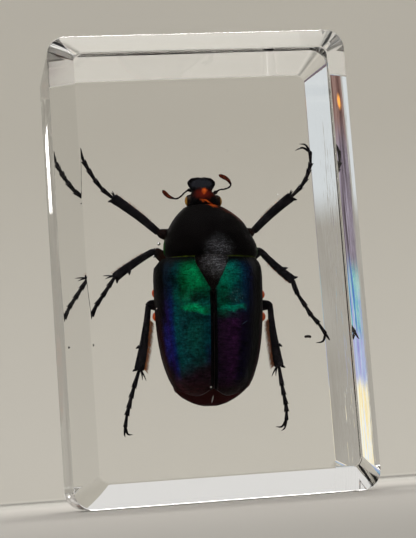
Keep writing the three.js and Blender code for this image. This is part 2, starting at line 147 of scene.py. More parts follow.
# Each leg: hip, knee and ankle, the joints of the foot, its two claw tips, and the toothed side of the shin.
LEGS = {
    "leg_front_left": {
        "hip": (-1.3, 2.9, 5.2), "knee": (-4.55, 1.3, 5.75), "ankle": (-9.0, 0.9, 9.2),
        "foot": ((-9.9, 0.85, 9.95), (-10.6, 0.8, 10.85), (-11.2, 0.8, 11.85), (-11.65, 0.8, 12.7),
                 (-12.1, 0.8, 14.0)),
        "claws": ((-12.8, 0.95, 14.6), (-12.0, 0.7, 14.9)), "outer": 1,
    },
    "leg_front_right": {
        "hip": (1.3, 2.9, 5.2), "knee": (4.65, 1.3, 5.8), "ankle": (8.65, 0.9, 9.3),
        "foot": ((9.55, 0.85, 10.2), (10.1, 0.85, 11.0), (10.4, 0.8, 11.85), (10.6, 0.8, 12.5),
                 (10.6, 0.8, 13.7)),
        "claws": ((9.1, 0.8, 13.8), (9.6, 1.05, 14.5)), "outer": -1,
    },
    "leg_middle_left": {
        "hip": (-1.4, 3.4, 1.6), "knee": (-5.0, 1.4, 4.05), "ankle": (-9.0, 0.95, 1.4),
        "foot": ((-9.5, 0.95, 0.65), (-10.1, 0.9, -0.25), (-10.7, 0.9, -1.1), (-11.2, 0.9, -2.1),
                 (-11.9, 0.9, -3.6)),
        "claws": ((-12.7, 1.05, -4.3), (-11.6, 0.75, -4.6)), "outer": 1,
    },
    "leg_middle_right": {
        "hip": (1.4, 3.4, 1.6), "knee": (5.3, 1.4, 4.0), "ankle": (8.45, 0.95, 0.95),
        "foot": ((8.75, 0.95, -0.3), (9.5, 0.95, -1.5), (10.0, 0.9, -2.4), (10.7, 0.9, -3.2),
                 (11.4, 0.9, -4.3)),
        "claws": ((10.4, 0.75, -5.15), (11.8, 1.05, -4.9)), "outer": 1,
    },
    "leg_hind_left": {
        "hip": (-1.6, 3.6, -1.3), "knee": (-5.75, 1.4, -1.15), "ankle": (-6.85, 1.05, -7.5),
        "foot": ((-7.35, 1.0, -9.0), (-7.65, 1.0, -9.95), (-7.9, 0.95, -10.9), (-8.1, 0.95, -11.6),
                 (-8.3, 0.9, -12.8)),
        "claws": ((-7.6, 0.9, -13.5), (-8.3, 1.1, -13.7)), "outer": -1,
    },
    "leg_hind_right": {
        "hip": (1.6, 3.6, -1.3), "knee": (6.1, 1.4, -1.35), "ankle": (6.7, 1.05, -7.4),
        "foot": ((6.9, 1.0, -9.1), (7.05, 1.0, -10.0), (7.2, 0.95, -10.9), (7.25, 0.95, -11.6),
                 (7.2, 0.9, -12.5)),
        "claws": ((6.15, 0.9, -13.1), (6.7, 1.1, -13.5)), "outer": 1,
    },
}
# How far the middle of each shin bends away from its toothed side.
SHIN_BOW = 0.12
# Half widths along a bead of the foot, and along the last one.
BEAD = (0.15, 0.17, 0.20, 0.25, 0.18)
LAST_BEAD = (0.13, 0.14, 0.17, 0.21, 0.15)
# Shins: half widths at the knee and the ankle, shares of the length with a tooth, length of the spurs.
SHIN = {
    "front": {"width": (0.37, 0.49), "teeth": (0.97,), "spurs": 0.5},
    "middle": {"width": (0.33, 0.45), "teeth": (0.66, 0.96), "spurs": 0.9},
    "hind": {"width": (0.29, 0.50), "teeth": (0.64, 0.98), "spurs": 0.95},
}


def paint(red, green, blue):
    """A screen colour from 0 to 255 as linear light, with alpha 1."""
    share = np.array((red, green, blue)) / 255
    linear = np.where(share <= 0.04045, share / 12.92, ((share + 0.055) / 1.055) ** 2.4)
    return (*(float(v) for v in linear), 1.0)


# The card's streak colours, at its foot and in bands up its height: stops of a position and a screen colour.
CARD_GOLD = ((0.0, 120, 160, 230), (0.25, 230, 240, 255), (0.5, 255, 250, 225), (0.75, 250, 225, 150),
             (1.0, 255, 255, 255))
CARD_LILAC = ((0.0, 130, 136, 200), (0.4, 176, 172, 216), (0.7, 160, 190, 220), (1.0, 214, 208, 236))
CARD_RAINBOW = ((0.0, 92, 80, 150), (0.25, 70, 120, 200), (0.45, 110, 190, 190), (0.6, 190, 220, 200),
                (0.75, 150, 150, 220), (1.0, 210, 205, 235))
CARD_VIOLET = ((0.0, 60, 50, 58), (0.4, 112, 100, 112), (0.7, 150, 140, 156), (1.0, 186, 178, 190))
CARD_WARM = ((0.0, 70, 40, 34), (0.5, 118, 84, 78), (1.0, 150, 120, 112))
CARD_BANDS = ((0.040, 0.048, CARD_LILAC), (0.062, 0.070, CARD_RAINBOW), (0.088, 0.104, CARD_VIOLET),
              (0.150, 0.175, CARD_WARM))

# Noise scale, two screen colours, roughness and shine.
PLAIN_FINISHES = {
    "bristle_brown": (3.0, (186, 112, 62), (116, 62, 34), 0.5, 0.3),
    "thin_chitin_orange": (3.0, (224, 92, 26), (160, 56, 20), 0.4, 0.3),
    "dust_dark": (6.0, (18, 15, 14), (46, 38, 34), 0.6, 0.2),
}

# Studio, in metres and degrees. A lamp: place, target, size, power in watts (None: key light) and spread.
COVE_BEND, COVE_HEIGHT, COVE_SINK = 0.35, 0.6, 0.0001
CARD_X, CARD_Y, CARD_TOP = (-0.235, -0.120), 0.574, 0.26
DAYLIGHT = (1.0, 0.985, 0.96)
SKY_RISE = {"From Min": 0.50, "From Max": 0.66}
SKY_LOW_SHARE = 0.76
LAMPS = {
    "key_lamp": ((-0.35, -0.35, 0.75), (0, 0, 0.02), (0.5, 0.5), None, 180),
    "floor_lamp": ((0.06, 0.34, 0.46), (0.03, 0.16, 0), (0.2, 0.12), 0.5, 60),
    "edge_lamp": ((0.49, -0.37, 0.165), (0, 0, 0.03), (0.05, 0.05), 0.06, 180),
}
CAMERA_PLACE = (-25.454 * MM, -153.107 * MM, 1.5 * MM)
CAMERA_YAW, CAMERA_PITCH, CAMERA_ROLL = -9.616, 7.668, 4.242


def length_field(name, value, description):
    return FloatProperty(name=name, default=float(value), description=description, subtype="DISTANCE",
                         unit="LENGTH")


def number_field(name, value, description):
    return FloatProperty(name=name, default=value, description=description)


def colour_field(name, value, description):
    return FloatVectorProperty(name=name, default=value[:3], description=description, subtype="COLOR")


class ResinBlockSizes(bpy.types.PropertyGroup):
    width: length_field("Width", CAD_SIZE[0], "Across the block")
    depth: length_field("Depth", CAD_SIZE[1], "Front face to back face")
    height: length_field("Height", CAD_SIZE[2], "Floor to top")
    bevel: length_field("Bevel", 2.2 * MM, "Width and depth of the 45 degree bevels")
    corner: length_field("Corner radius", 1.8 * MM, "Upright corners of the sides")
    face_corner: length_field("Face corner radius", 0.9 * MM, "Corners of the flat faces")
    softness: length_field("Edge softness", 0.18 * MM, "How far the polish rounds each edge")
    crown: number_field("Front crown", 4.0, "Degrees that each front bevel curves either way")
    back_crown: number_field("Back crown", 0.5, "Degrees that each back bevel curves either way")
    tint: colour_field("Tint", (0.99, 0.99, 0.985), "Colour of the clear resin")
    ior: number_field("Index of refraction", 1.53, "How strongly the resin bends light")
    density: number_field("Absorption", 4.0, "Density of the resin's faint body colour")


class BeetleColours(bpy.types.PropertyGroup):
    black: colour_field("Black", paint(7, 6, 7), "Shield, legs and suture")
    green: colour_field("Green", paint(0, 150, 84), "Bright metal of the wing cases")
    teal: colour_field("Teal", paint(8, 88, 92), "Outside the green")
    blue: colour_field("Blue", paint(22, 40, 112), "Outside the teal")
    violet: colour_field("Violet", paint(34, 18, 82), "Last colour before the black edge")
    purple: colour_field("Purple", paint(56, 24, 61), "Shaded half of the right wing case")
    maroon: colour_field("Maroon", paint(66, 22, 24), "Underbody and tail plate")
    amber: colour_field("Amber", paint(214, 92, 30), "Thin chitin of the head, lit from behind")


class StudioSettings(bpy.types.PropertyGroup):
    wall: colour_field("Wall", paint(214, 211, 202), "Paint of the upright wall behind the block")
    # The floor's paint is painted shade, darker than the wall against the lamps' light.
    floor: colour_field("Floor", paint(136, 134, 129), "Paint of the floor near the block")
    side: colour_field("Front wall", paint(110, 106, 102), "Darker paint of the wall on the camera's side")
    radius: length_field("Radius", 1.4, "Distance of the wall")
    sky: number_field("Sky", 0.95, "Strength of the soft light from above the wall")
    key: number_field("Key light", 4.5, "Power of the large lamp over the block, in watts")
    lens: number_field("Lens", 138.63, "Focal length in millimetres on a 36 mm sensor")
    seed: IntProperty(name="Seed", default=7, description="Start of the bristles' random draws")


# ---------------------------------------------------------------- shapes

def place(points):
    """Beetle millimetres to metres of the block: turned about y by BEETLE_TURN, moved to BEETLE_CENTRE."""
    c, s = math.cos(BEETLE_TURN), math.sin(BEETLE_TURN)
    x, y, z = np.moveaxis(np.asarray(points, float), -1, 0)
    turned = np.stack((x * c + z * s, y, z * c - x * s), axis=-1)
    return (turned + BEETLE_CENTRE) * MM


def bulge(value):
    """Sign of the value times its size to the power ROUNDNESS, which makes an ellipse a little boxier."""
    return np.sign(value) * np.abs(value) ** ROUNDNESS


def flow(sections, z):
    """Columns of the sections at every height z, by cubics that share their slope at each section."""
    table = np.array(sections, float)
    order = np.argsort(table[:, 0])
    knots, values = table[order, 0], table[order, 1:]
    slopes = np.gradient(values, knots, axis=0)
    z = np.asarray(z, float)
    i = np.clip(np.searchsorted(knots, z) - 1, 0, len(knots) - 2)
    gap = (knots[i + 1] - knots[i])[..., None]
    t = np.clip((z - knots[i])[..., None] / gap, 0, 1)
    near = (2 * t**3 - 3 * t**2 + 1) * values[i] + (t**3 - 2 * t**2 + t) * gap * slopes[i]
    far = (3 * t**2 - 2 * t**3) * values[i + 1] + (t**3 - t**2) * gap * slopes[i + 1]
    return np.moveaxis(near + far, -1, 0)


def ease(value, low, high):
    """Smooth step: 0 at low, 1 at high, 3t^2 - 2t^3 between."""
    t = np.clip((value - low) / (high - low), 0, 1)
    return t * t * (3 - 2 * t)


def hump(value, centre, width):
    """Bell curve of height 1: exp(-((value - centre) / width)^2)."""
    return np.exp(-(((value - centre) / width) ** 2))


def ripple(points, size, seed, waves=28):
    """A soft random field about -1 to 1: cosines of random direction and phase, with lengths near size."""
    draw = np.random.default_rng(seed)
    heading = draw.normal(size=(waves, 3))
    heading /= np.linalg.norm(heading, axis=1, keepdims=True)
    heading *= (2 * math.pi / size) * draw.uniform(0.6, 1.6, (waves, 1))
    phase = draw.uniform(0, 2 * math.pi, waves)
    return np.cos(points @ heading.T + phase).sum(axis=-1) / math.sqrt(waves)


def wrinkles(points, size, seed):
    """Ripples pressed together along z, coarse ones of the given size and fine ones."""
    coarse, fine = ripple(points * (1.0, 1.0, 4.5), size, seed), ripple(points * (1.0, 1.0, 3.0), 0.4, seed + 1)
    return coarse + 0.6 * fine


def raised(grid, height, middle, wrap=True):
    """The grid moved out by the height along its unit normals: cross products of the differences along rows
    and along columns, turned to point away from the middle."""
    along = np.gradient(grid, axis=0)
    if wrap:
        across = (np.roll(grid, -1, axis=1) - np.roll(grid, 1, axis=1)) / 2
    else:
        across = np.gradient(grid, axis=1)
    normal = np.cross(along, across)
    normal /= np.maximum(np.linalg.norm(normal, axis=-1, keepdims=True), 1e-12)
    normal *= np.sign((normal * (grid - middle)).sum(-1, keepdims=True))
    return grid + normal * height[..., None]


def quads(rows, columns, wrap):
    """Corner numbers of the cells of a grid; the last column joins the first where it wraps."""
    row = np.arange(rows - 1)[:, None] * columns
    column = np.arange(columns if wrap else columns - 1)[None, :]
    nearer = row + column
    beside = row + (column + 1) % columns
    return np.stack((nearer, beside, beside + columns, nearer + columns), axis=-1).reshape(-1, 4)


def tube(grid):
    """A closed shell from rings of points: cells between the rings, a fan to the middle of each end ring."""
    rows, columns = grid.shape[:2]
    flat = grid.reshape(-1, 3)
    points = np.concatenate((flat, grid[0].mean(axis=0)[None], grid[-1].mean(axis=0)[None]))
    step = np.arange(columns)
    first = np.stack(((step + 1) % columns, step, np.full(columns, len(flat))), axis=-1)
    last_row = (rows - 1) * columns
    last = np.stack((last_row + step, last_row + (step + 1) % columns, np.full(columns, len(flat) + 1)), -1)
    return points, [quads(rows, columns, True), first, last]


def lens(outer, inner):
    """A closed shell from two sheets on the same grid, with a wall of cells all round between them."""
    rows, columns = outer.shape[:2]
    count = rows * columns
    points = np.concatenate((outer.reshape(-1, 3), inner.reshape(-1, 3)))
    sheet = quads(rows, columns, False)
    number = np.arange(count).reshape(rows, columns)
    edge = np.concatenate((number[0, :], number[1:, -1], number[-1, -2::-1], number[-2:0:-1, 0]))
    after = np.roll(edge, -1)
    wall = np.stack((edge, after, after + count, edge + count), axis=-1)
    return points, [sheet, sheet[:, ::-1] + count, wall]


def ball(centre, radii, rings=24, columns=32):
    """An ellipsoid: rings at cos and sin of the angle from its pole, times the radii, about the centre."""
    tall = np.linspace(0.04, math.pi - 0.04, rings)[:, None]
    turn = np.linspace(0, 2 * math.pi, columns, endpoint=False)[None, :]
    flat = np.sin(tall)
    shape = np.stack((flat * np.cos(turn), flat * np.sin(turn), np.cos(tall) + 0 * turn), axis=-1)
    return tube(shape * np.array(radii) + np.array(centre))


def curve_through(points, count):
    """Points spaced evenly by share along a smooth curve (Catmull-Rom) through the given points."""
    knots = np.asarray(points, float)
    shares = np.concatenate(([0], np.cumsum(np.linalg.norm(np.diff(knots, axis=0), axis=1))))
    shares /= shares[-1]
    return flow(np.column_stack((shares, knots)), np.linspace(0, 1, count)).T


def carry(path, wide, deep, columns=20, flatness=1.0):
    """Ovals carried along a path, each across it, wide in the plane of the block and deep in y. The ring is
    path + W wide cos^f t + D deep sin^f t, with W = path direction x y axis and D = W x direction."""
    path = np.asarray(path, float)
    heading = np.gradient(path, axis=0)
    heading /= np.linalg.norm(heading, axis=1, keepdims=True)
    side = np.cross(heading, (0.0, 1.0, 0.0))
    side /= np.linalg.norm(side, axis=1, keepdims=True)
    up = np.cross(side, heading)
    turn = np.linspace(0, 2 * math.pi, columns, endpoint=False)
    waves = np.cos(turn)[:, None], np.sin(turn)[:, None]
    c, s = (np.sign(wave) * np.abs(wave) ** flatness for wave in waves)
    wide = np.broadcast_to(wide, len(path))[:, None, None]
    deep = np.broadcast_to(deep, len(path))[:, None, None]
    return path[:, None, :] + side[:, None, :] * wide * c + up[:, None, :] * deep * s


def profile(shares, values, count):
    """Values at evenly spaced shares of the length, by straight runs between the given ones."""
    return np.interp(np.linspace(0, 1, count), shares, values)


def end_round(count, start, end):
    """1 along the middle, falling like a quarter circle over the first and last shares of the length."""
    share = np.linspace(0, 1, count)
    near = np.sqrt(np.clip(1 - (1 - np.clip(share / max(start, 1e-6), 0, 1)) ** 2, 0.0, 1))
    far = np.sqrt(np.clip(1 - (1 - np.clip((1 - share) / max(end, 1e-6), 0, 1)) ** 2, 0.0, 1))
    return np.maximum(near * far, 0.06)


def straight(start, end, count, bow=(0, 0, 0)):
    """Points from start to end, bent by the bow at the middle and less towards the ends."""
    share = np.linspace(0, 1, count)[:, None]
    return np.array(start) * (1 - share) + np.array(end) * share + np.array(bow) * (4 * share * (1 - share))


def limb(path, wide, deep, columns, ends=None):
    """A closed limb along the path, whose width falls to round ends over the given shares of its length."""
    if ends:
        wide = wide * end_round(len(path), *ends)
    return tube(carry(path, wide, deep, columns))


def thorn(root, tip, radius, bend=(0, 0, 0), count=9, columns=8):
    """A pointed spine, bent at its middle; its radius falls as the power 0.7 of the length that is left."""
    width = radius * (1 - np.linspace(0, 1, count)) ** 0.7 + 0.012
    return limb(straight(root, tip, count, bend), width, width, columns)


def bristles(roots, tips, radius, sag):
    """Many hairs in one shell: three-sided curved cones with rings at 0, 0.35 and 0.7 and a point at 1."""
    roots, tips = np.asarray(roots, float), np.asarray(tips, float)
    count = len(roots)
    heading = tips - roots
    length = np.linalg.norm(heading, axis=1, keepdims=True)
    heading /= length
    side = np.cross(heading, (0.31, 0.83, 0.46))
    side /= np.linalg.norm(side, axis=1, keepdims=True)
    other = np.cross(heading, side)
    rings = []
    for share, thick in ((0.0, 1.0), (0.35, 0.8), (0.7, 0.5)):
        middle = roots + (tips - roots) * share + np.asarray(sag) * (4 * share * (1 - share))
        for turn in (0, 2 * math.pi / 3, 4 * math.pi / 3):
            rings.append(middle + radius * thick * (side * math.cos(turn) + other * math.sin(turn)))
    points = np.stack(rings + [tips], axis=1).reshape(-1, 3)
    start = np.arange(count)[:, None] * 10
    cells = np.array([[r * 3 + k, r * 3 + (k + 1) % 3, r * 3 + 3 + (k + 1) % 3, r * 3 + 3 + k]
                      for r in (0, 1) for k in range(3)])
    points_end = np.array([[6, 7, 9], [7, 8, 9], [8, 6, 9], [0, 2, 1]])
    return points, [(start[:, :, None] + cells[None]).reshape(-1, 4),
                    (start[:, :, None] + points_end[None]).reshape(-1, 3)]


def facing(points, faces, sign):
    """The shell with its faces outward (sign 1) or inward (-1), judged by the sum of its corner volumes."""
    centre = points.mean(axis=0)
    volume = 0.0
    for cells in faces:
        a, b, c = (points[cells[:, k]] - centre for k in range(3))
        volume += (a * np.cross(b, c)).sum()
    return points, faces if volume * sign > 0 else [cells[:, ::-1] for cells in faces]


def make_mesh(name, shells, outward=True):
    """One mesh from shells of points and faces, laid end to end; closed shells get outward faces."""
    points, sizes, corners = [], [], []
    base = 0
    for shell_points, shell_faces in shells:
        points.append(shell_points)
        for faces in shell_faces:
            corners.append((faces + base).reshape(-1))
            sizes.append(np.full(len(faces), faces.shape[1]))
        base += len(shell_points)
    points, sizes, corners = (np.concatenate(parts) for parts in (points, sizes, corners))
    mesh = bpy.data.meshes.new(name)
    mesh.vertices.add(len(points))
    mesh.vertices.foreach_set("co", points.reshape(-1).astype(np.float32))
    mesh.loops.add(len(corners))
    mesh.loops.foreach_set("vertex_index", corners.astype(np.int32))
    mesh.polygons.add(len(sizes))
    mesh.polygons.foreach_set("loop_start", np.concatenate(([0], np.cumsum(sizes)[:-1])).astype(np.int32))
    mesh.update(calc_edges=True)
    mesh.validate()
    if outward:
        work = bmesh.new()
        work.from_mesh(mesh)
        bmesh.ops.recalc_face_normals(work, faces=work.faces)
        work.to_mesh(mesh)
        work.free()
    mesh.polygons.foreach_set("use_smooth", np.ones(len(mesh.polygons), bool))
    return mesh


def add_piece(name, shells, material, replaces=(), in_beetle=True, outward=True):
    """A finished piece of the object: meshed, painted, riding on the body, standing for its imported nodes."""
    if in_beetle:
        shells = [(place(points), faces) for points, faces in shells]
    mesh = make_mesh(name, shells, outward)
    piece = bpy.data.objects.new(name, mesh)
    bpy.context.collection.objects.link(piece)
    mesh.materials.append(material)
    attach(piece, BODY)
    if replaces:
        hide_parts(*replaces)
    return piece


def ring_body(sections, edge_y, rows, columns):
    """A grid of rings round the body, and their turn t: x = centre + half width bulge(cos t), and
    y = edge - rise bulge(sin t) on the back or edge - drop bulge(sin t) on the belly."""
    heights = [section[0] for section in sections]
    z = np.linspace(min(heights), max(heights), rows)[:, None]
    *centre, half, rise, drop = flow(sections, z)
    turn = np.linspace(0, 2 * math.pi, columns, endpoint=False)[None, :]
    x = (centre[0] if centre else 0) + half * bulge(np.cos(turn))
    y = edge_y - np.where(np.sin(turn) > 0, rise, drop) * bulge(np.sin(turn))
    return np.stack((x, y, z + 0 * turn), axis=-1), turn


# ---------------------------------------------------------------- finishes

class Signal:
    """A value that runs through a material's nodes. Sums, differences, products and abs() add a node each."""

    def __init__(self, finish, socket):
        self.finish = finish
        self.socket = socket

    def __add__(self, other):
        return self.finish.math("ADD", self, other)

    def __sub__(self, other):
        return self.finish.math("SUBTRACT", self, other)

    def __rsub__(self, other):
        return self.finish.math("SUBTRACT", other, self)

    def __mul__(self, other):
        return self.finish.math("MULTIPLY", self, other)

    def __abs__(self):
        return self.finish.math("ABSOLUTE", self, 0.0)

    def limit(self):
        """The same value, kept from 0 to 1 by the node that makes it."""
        self.socket.node.use_clamp = True
        return self

    def between(self, low, high, bottom=0.0, top=1.0):
        """Smooth step of the value: bottom at low, top at high."""
        return self.finish.signal("ShaderNodeMapRange", "Result", {
            "Value": self, "From Min": low, "From Max": high, "To Min": bottom, "To Max": top},
            interpolation_type="SMOOTHSTEP")


class Finish:
    """One node material, built step by step: at is the place of a point, base the colour laid on so far."""

    def __init__(self, name, in_beetle=True):
        self.material = bpy.data.materials.new(name)
        self.material.use_nodes = True
        self.nodes = self.material.node_tree.nodes
        self.links = self.material.node_tree.links
        self.shader = self.nodes["Principled BSDF"]
        self.base = None
        self.at = self.add("ShaderNodeTexCoord").outputs["Object"]
        if in_beetle:
            self.at = self.seen_from(self.at, [v * MM for v in BEETLE_CENTRE], (MM, MM, MM), BEETLE_TURN)

    def add(self, kind, inputs=None, **settings):
        node = self.nodes.new(kind)
        for key, value in settings.items():
            setattr(node, key, value)
        for key, value in (inputs or {}).items():
            self.set(node.inputs[key], value)
        return node

    def signal(self, kind, output, inputs, **settings):
        return Signal(self, self.add(kind, inputs, **settings).outputs[output])

    def set(self, socket, value):
        if isinstance(value, Signal):
            value = value.socket
        if isinstance(value, bpy.types.NodeSocket):
            self.links.new(value, socket)
        else:
            socket.default_value = value

    def seen_from(self, vector, centre, size, turn):
        """The place as seen from a centre, in units of the size, with a turn about y taken back."""
        return self.add("ShaderNodeMapping", {"Vector": vector, "Location": centre, "Scale": size,
                                              "Rotation": (0, turn, 0)}, vector_type="TEXTURE").outputs[0]

    def axes(self, vector=None):
        return [Signal(self, socket)
                for socket in self.add("ShaderNodeSeparateXYZ", {"Vector": vector or self.at}).outputs]

    def noise(self, scale, detail=2.0, roughness=0.5, distortion=0.0):
        """Noise at one scale, or at three scales along x, y and z."""
        vector = self.at
        if isinstance(scale, tuple):
            vector = self.add("ShaderNodeMapping", {"Vector": vector, "Scale": scale}).outputs[0]
            scale = 1.0
        return self.signal("ShaderNodeTexNoise", "Fac", {"Vector": vector, "Scale": scale, "Detail": detail,
                                                         "Roughness": roughness, "Distortion": distortion})

    def pits(self, scale):
        return self.signal("ShaderNodeTexVoronoi", "Distance", {"Vector": self.at, "Scale": scale})

    def math(self, operation, first, second):
        return self.signal("ShaderNodeMath", 0, {0: first, 1: second}, operation=operation)

    def length(self, vector):
        return self.signal("ShaderNodeVectorMath", "Value", {0: vector}, operation="LENGTH")

    def patch(self, centre, size, soft=0.5, turn=0.0, vector=None):
        """1 inside an oval patch turned about y, fading to 0 at its edge over the soft share of its size."""
        return self.length(self.seen_from(vector or self.at, centre, size, turn)).between(1.0, 1.0 - soft)

    def warped(self, amount, scale, vector=None):
        """The same place pushed about by noise, which gives patches laid out there ragged edges."""
        vector = vector or self.at
        push = self.add("ShaderNodeTexNoise", {"Vector": vector, "Scale": scale, "Detail": 4.0})
        centred = self.add("ShaderNodeVectorMath", {0: push.outputs["Color"], 1: (0.5, 0.5, 0.5)},
                           operation="SUBTRACT").outputs[0]
        return self.add("ShaderNodeVectorMath", {0: centred, 1: (amount, amount, amount), 2: vector},
                        operation="MULTIPLY_ADD").outputs[0]

    def ramp(self, factor, *stops):
        """Colour along a factor. A stop is a position with a palette name or with a screen colour."""
        node = self.add("ShaderNodeValToRGB", {"Fac": factor})
        node.color_ramp.interpolation = "EASE"
        elements = node.color_ramp.elements
        for stop in stops[2:]:
            elements.new(stop[0])
        for element, stop in zip(elements, stops):
            element.position = stop[0]
        for element, (_, *colour) in zip(elements, stops):
            element.color = paint(*colour) if len(colour) == 3 else (*colour_of(*colour), 1.0)
        return node.outputs["Color"]

    def mix(self, factor, first, second, blend="MIX"):
        node = self.add("ShaderNodeMix", {"Factor": factor}, data_type="RGBA", blend_type=blend)
        colours = [socket for socket in node.inputs if socket.type == "RGBA"]
        for socket, value in zip(colours, (first, second)):
            if not isinstance(value, bpy.types.NodeSocket):
                value = (*tuple(value)[:3], 1.0)
            self.set(socket, value)
        return next(socket for socket in node.outputs if socket.type == "RGBA")

    def coat(self, amount, colour, share=1.0):
        """Lays a colour over the base, by the amount times the share."""
        self.base = self.mix(amount if share == 1.0 else amount * share, self.base, colour)

    def bump(self, height, depth, strength):
        """Relief of a depth in millimetres."""
        return self.add("ShaderNodeBump", {"Height": height, "Distance": depth * MM,
                                           "Strength": strength}).outputs["Normal"]

    def surface(self, **values):
        for key, value in ({"Base_Color": self.base} | values).items():
            self.set(self.shader.inputs[key.replace("_", " ")], value)
        return self.material

    def chitin(self, rough, height, shine=0.3, depth=0.03, strength=0.5, **values):
        """The beetle's shell inside the resin: faint shine, and relief of a depth in millimetres."""
        return self.surface(Roughness=rough, Specular_IOR_Level=shine, IOR=CHITIN_IOR,
                            Normal=self.bump(height, depth, strength), **values)


def colour_of(name):
    return tuple(getattr(bpy.context.scene.beetle_colours, name))


def resin_finish():
    """Clear resin with a faint body colour; fine lengthwise streaks roughen its left and right edges."""
    sizes = bpy.context.scene.resin_block
    finish = Finish("clear_resin", False)
    x = finish.axes()[0]
    height = finish.noise((5200, 5200, 260), 2.0) * abs(x).between(*EDGE_STREAKS)
    finish.surface(Base_Color=(*sizes.tint, 1.0), Roughness=0.0, IOR=sizes.ior, Transmission_Weight=1.0,
                   Specular_Tint=(0.15, 0.15, 0.15, 1.0), Normal=finish.bump(height, 0.01, 0.35))
    body = finish.add("ShaderNodeVolumeAbsorption", {"Color": BODY_COLOUR, "Density": sizes.density})
    finish.set(finish.nodes["Material Output"].inputs["Volume"], body.outputs[0])
    return finish.material


def painted_sheen(finish, sheen_patch, least, grey):
    """Lays painted grey sheen over the sheen patch, broken into cross lines, and returns its waves and grains.
    """
    waves = finish.noise((1.7, 1.7, 7.5), 6, 0.75, 1.2)
    grains = finish.noise(9.0, 4, 0.75)
    lines = (waves + grains).between(0.98, 1.18)
    finish.coat((sheen_patch * (lines + least)).limit(), grey, 0.75)
    return waves, grains


def shield_finish():
    """Black shield: pits, painted grey sheen by the scutellum, thin green rims, a painted brown highlight and a
    painted orange glow at the front.
    """
    finish = Finish("shield_chitin")
    ragged = finish.warped(1.1, 1.3)
    x, _, z = finish.axes()
    finish.base = finish.mix(finish.noise(0.8, 3), colour_of("black"), paint(11, 8, 8))
    # Painted grey sheen by the scutellum, broken into wrinkled cross lines.
    sheen_patch = finish.patch((0.7, -3.4, 3.7), (1.9, 2.5, 1.9), 0.95, 0.0, ragged)
    waves, grains = painted_sheen(finish, sheen_patch, 0.14, paint(128, 130, 138))
    left_rim = finish.patch((-4.32, 0.0, 4.5), (0.34, 0.5, 2.0), 0.8)
    right_rim = finish.patch((4.88, 0.0, 4.4), (0.30, 0.5, 1.8), 0.8)
    finish.coat((left_rim + right_rim).limit(), paint(22, 96, 24))
    # Painted highlight: brown along the right front edge.
    front = finish.patch((2.45, -0.5, 7.35), (2.0, 1.5, 0.42), 0.9, 0.56, ragged)
    finish.coat(front, paint(104, 44, 24), 0.6)
    # Painted orange glow along the front edge, by the head.
    finish.coat(finish.patch((0.35, -0.6, 8.30), (0.9, 1.8, 0.16), 0.8, 0.37, ragged), paint(190, 78, 22))
    hind = abs(z - 3.06).between(0.13, 0.03) * finish.noise(1.6, 3).between(0.35, 0.6, 0.25, 1.0)
    finish.coat(hind * x.between(-0.4, -1.3, 0.25, 0.95), paint(112, 136, 8))
    height = finish.pits(6.5).between(0.05, 0.3) * 0.35 + waves * sheen_patch * 1.6
    return finish.chitin(grains.between(0.3, 0.7, 0.34, 0.5), height)


def left_metal(finish, ragged, q):
    """Left wing case: green, teal, blue and violet outwards, bluer along its flank, maroon at the tail."""
    x, _, z = finish.axes()
    ragged_z = finish.axes(ragged)[2]
    finish.base = finish.ramp(q, (0.0, 10, 50, 84), (0.13, 6, 70, 76), (0.26, 18, 82, 82), (0.56, 20, 80, 86),
                              (0.68, "teal"), (0.77, "blue"), (0.83, "violet"), (0.88, 22, 12, 36),
                              (0.93, "black"))
    flank = finish.patch((-4.32, -2.0, -5.4), (0.55, 3.0, 3.4), 0.9, -0.12, ragged)
    finish.coat(flank, paint(40, 42, 136), 0.7)
    top_edge = finish.ramp(q, (0.0, 2, 84, 54), (0.5, 2, 74, 44), (0.66, 6, 48, 52), (0.80, 12, 34, 52),
                           (0.89, "black"))
    finish.coat(ragged_z.between(-3.2, 0.8), top_edge)
    finish.coat(finish.patch((-0.45, -3.5, -6.6), (0.7, 2.5, 2.0), 0.9, 0.0, ragged), paint(24, 34, 84), 0.7)
    finish.coat((ragged_z + x * -0.42).between(-5.7, -7.7), paint(46, 27, 40))
    finish.coat(z.between(-8.2, -9.7), paint(58, 25, 31))


def right_metal(finish, ragged, q):
    """Right wing case: green and teal at the shoulder, a dusky purple painted shade below a slant, maroon at
    the tail.
    """
    x, _, z = finish.axes()
    finish.base = finish.ramp(q, (0.0, 4, 66, 56), (0.2, 2, 88, 64), (0.42, 6, 74, 78), (0.60, 8, 42, 68),
                              (0.72, 12, 18, 44), (0.80, 9, 7, 14), (0.86, "black"))
    shaded_purple = finish.ramp(q, (0.0, 24, 18, 44), (0.16, 46, 24, 50), (0.40, "purple"), (0.58, 22, 14, 40),
                       (0.70, 11, 11, 28), (0.82, "black"))
    # Painted shade: below a slant the case turns dusky purple.
    finish.coat((finish.axes(ragged)[2] + x * -0.22).between(-2.2, -3.5), shaded_purple)
    finish.coat(z.between(-8.2, -9.8), paint(34, 12, 16))


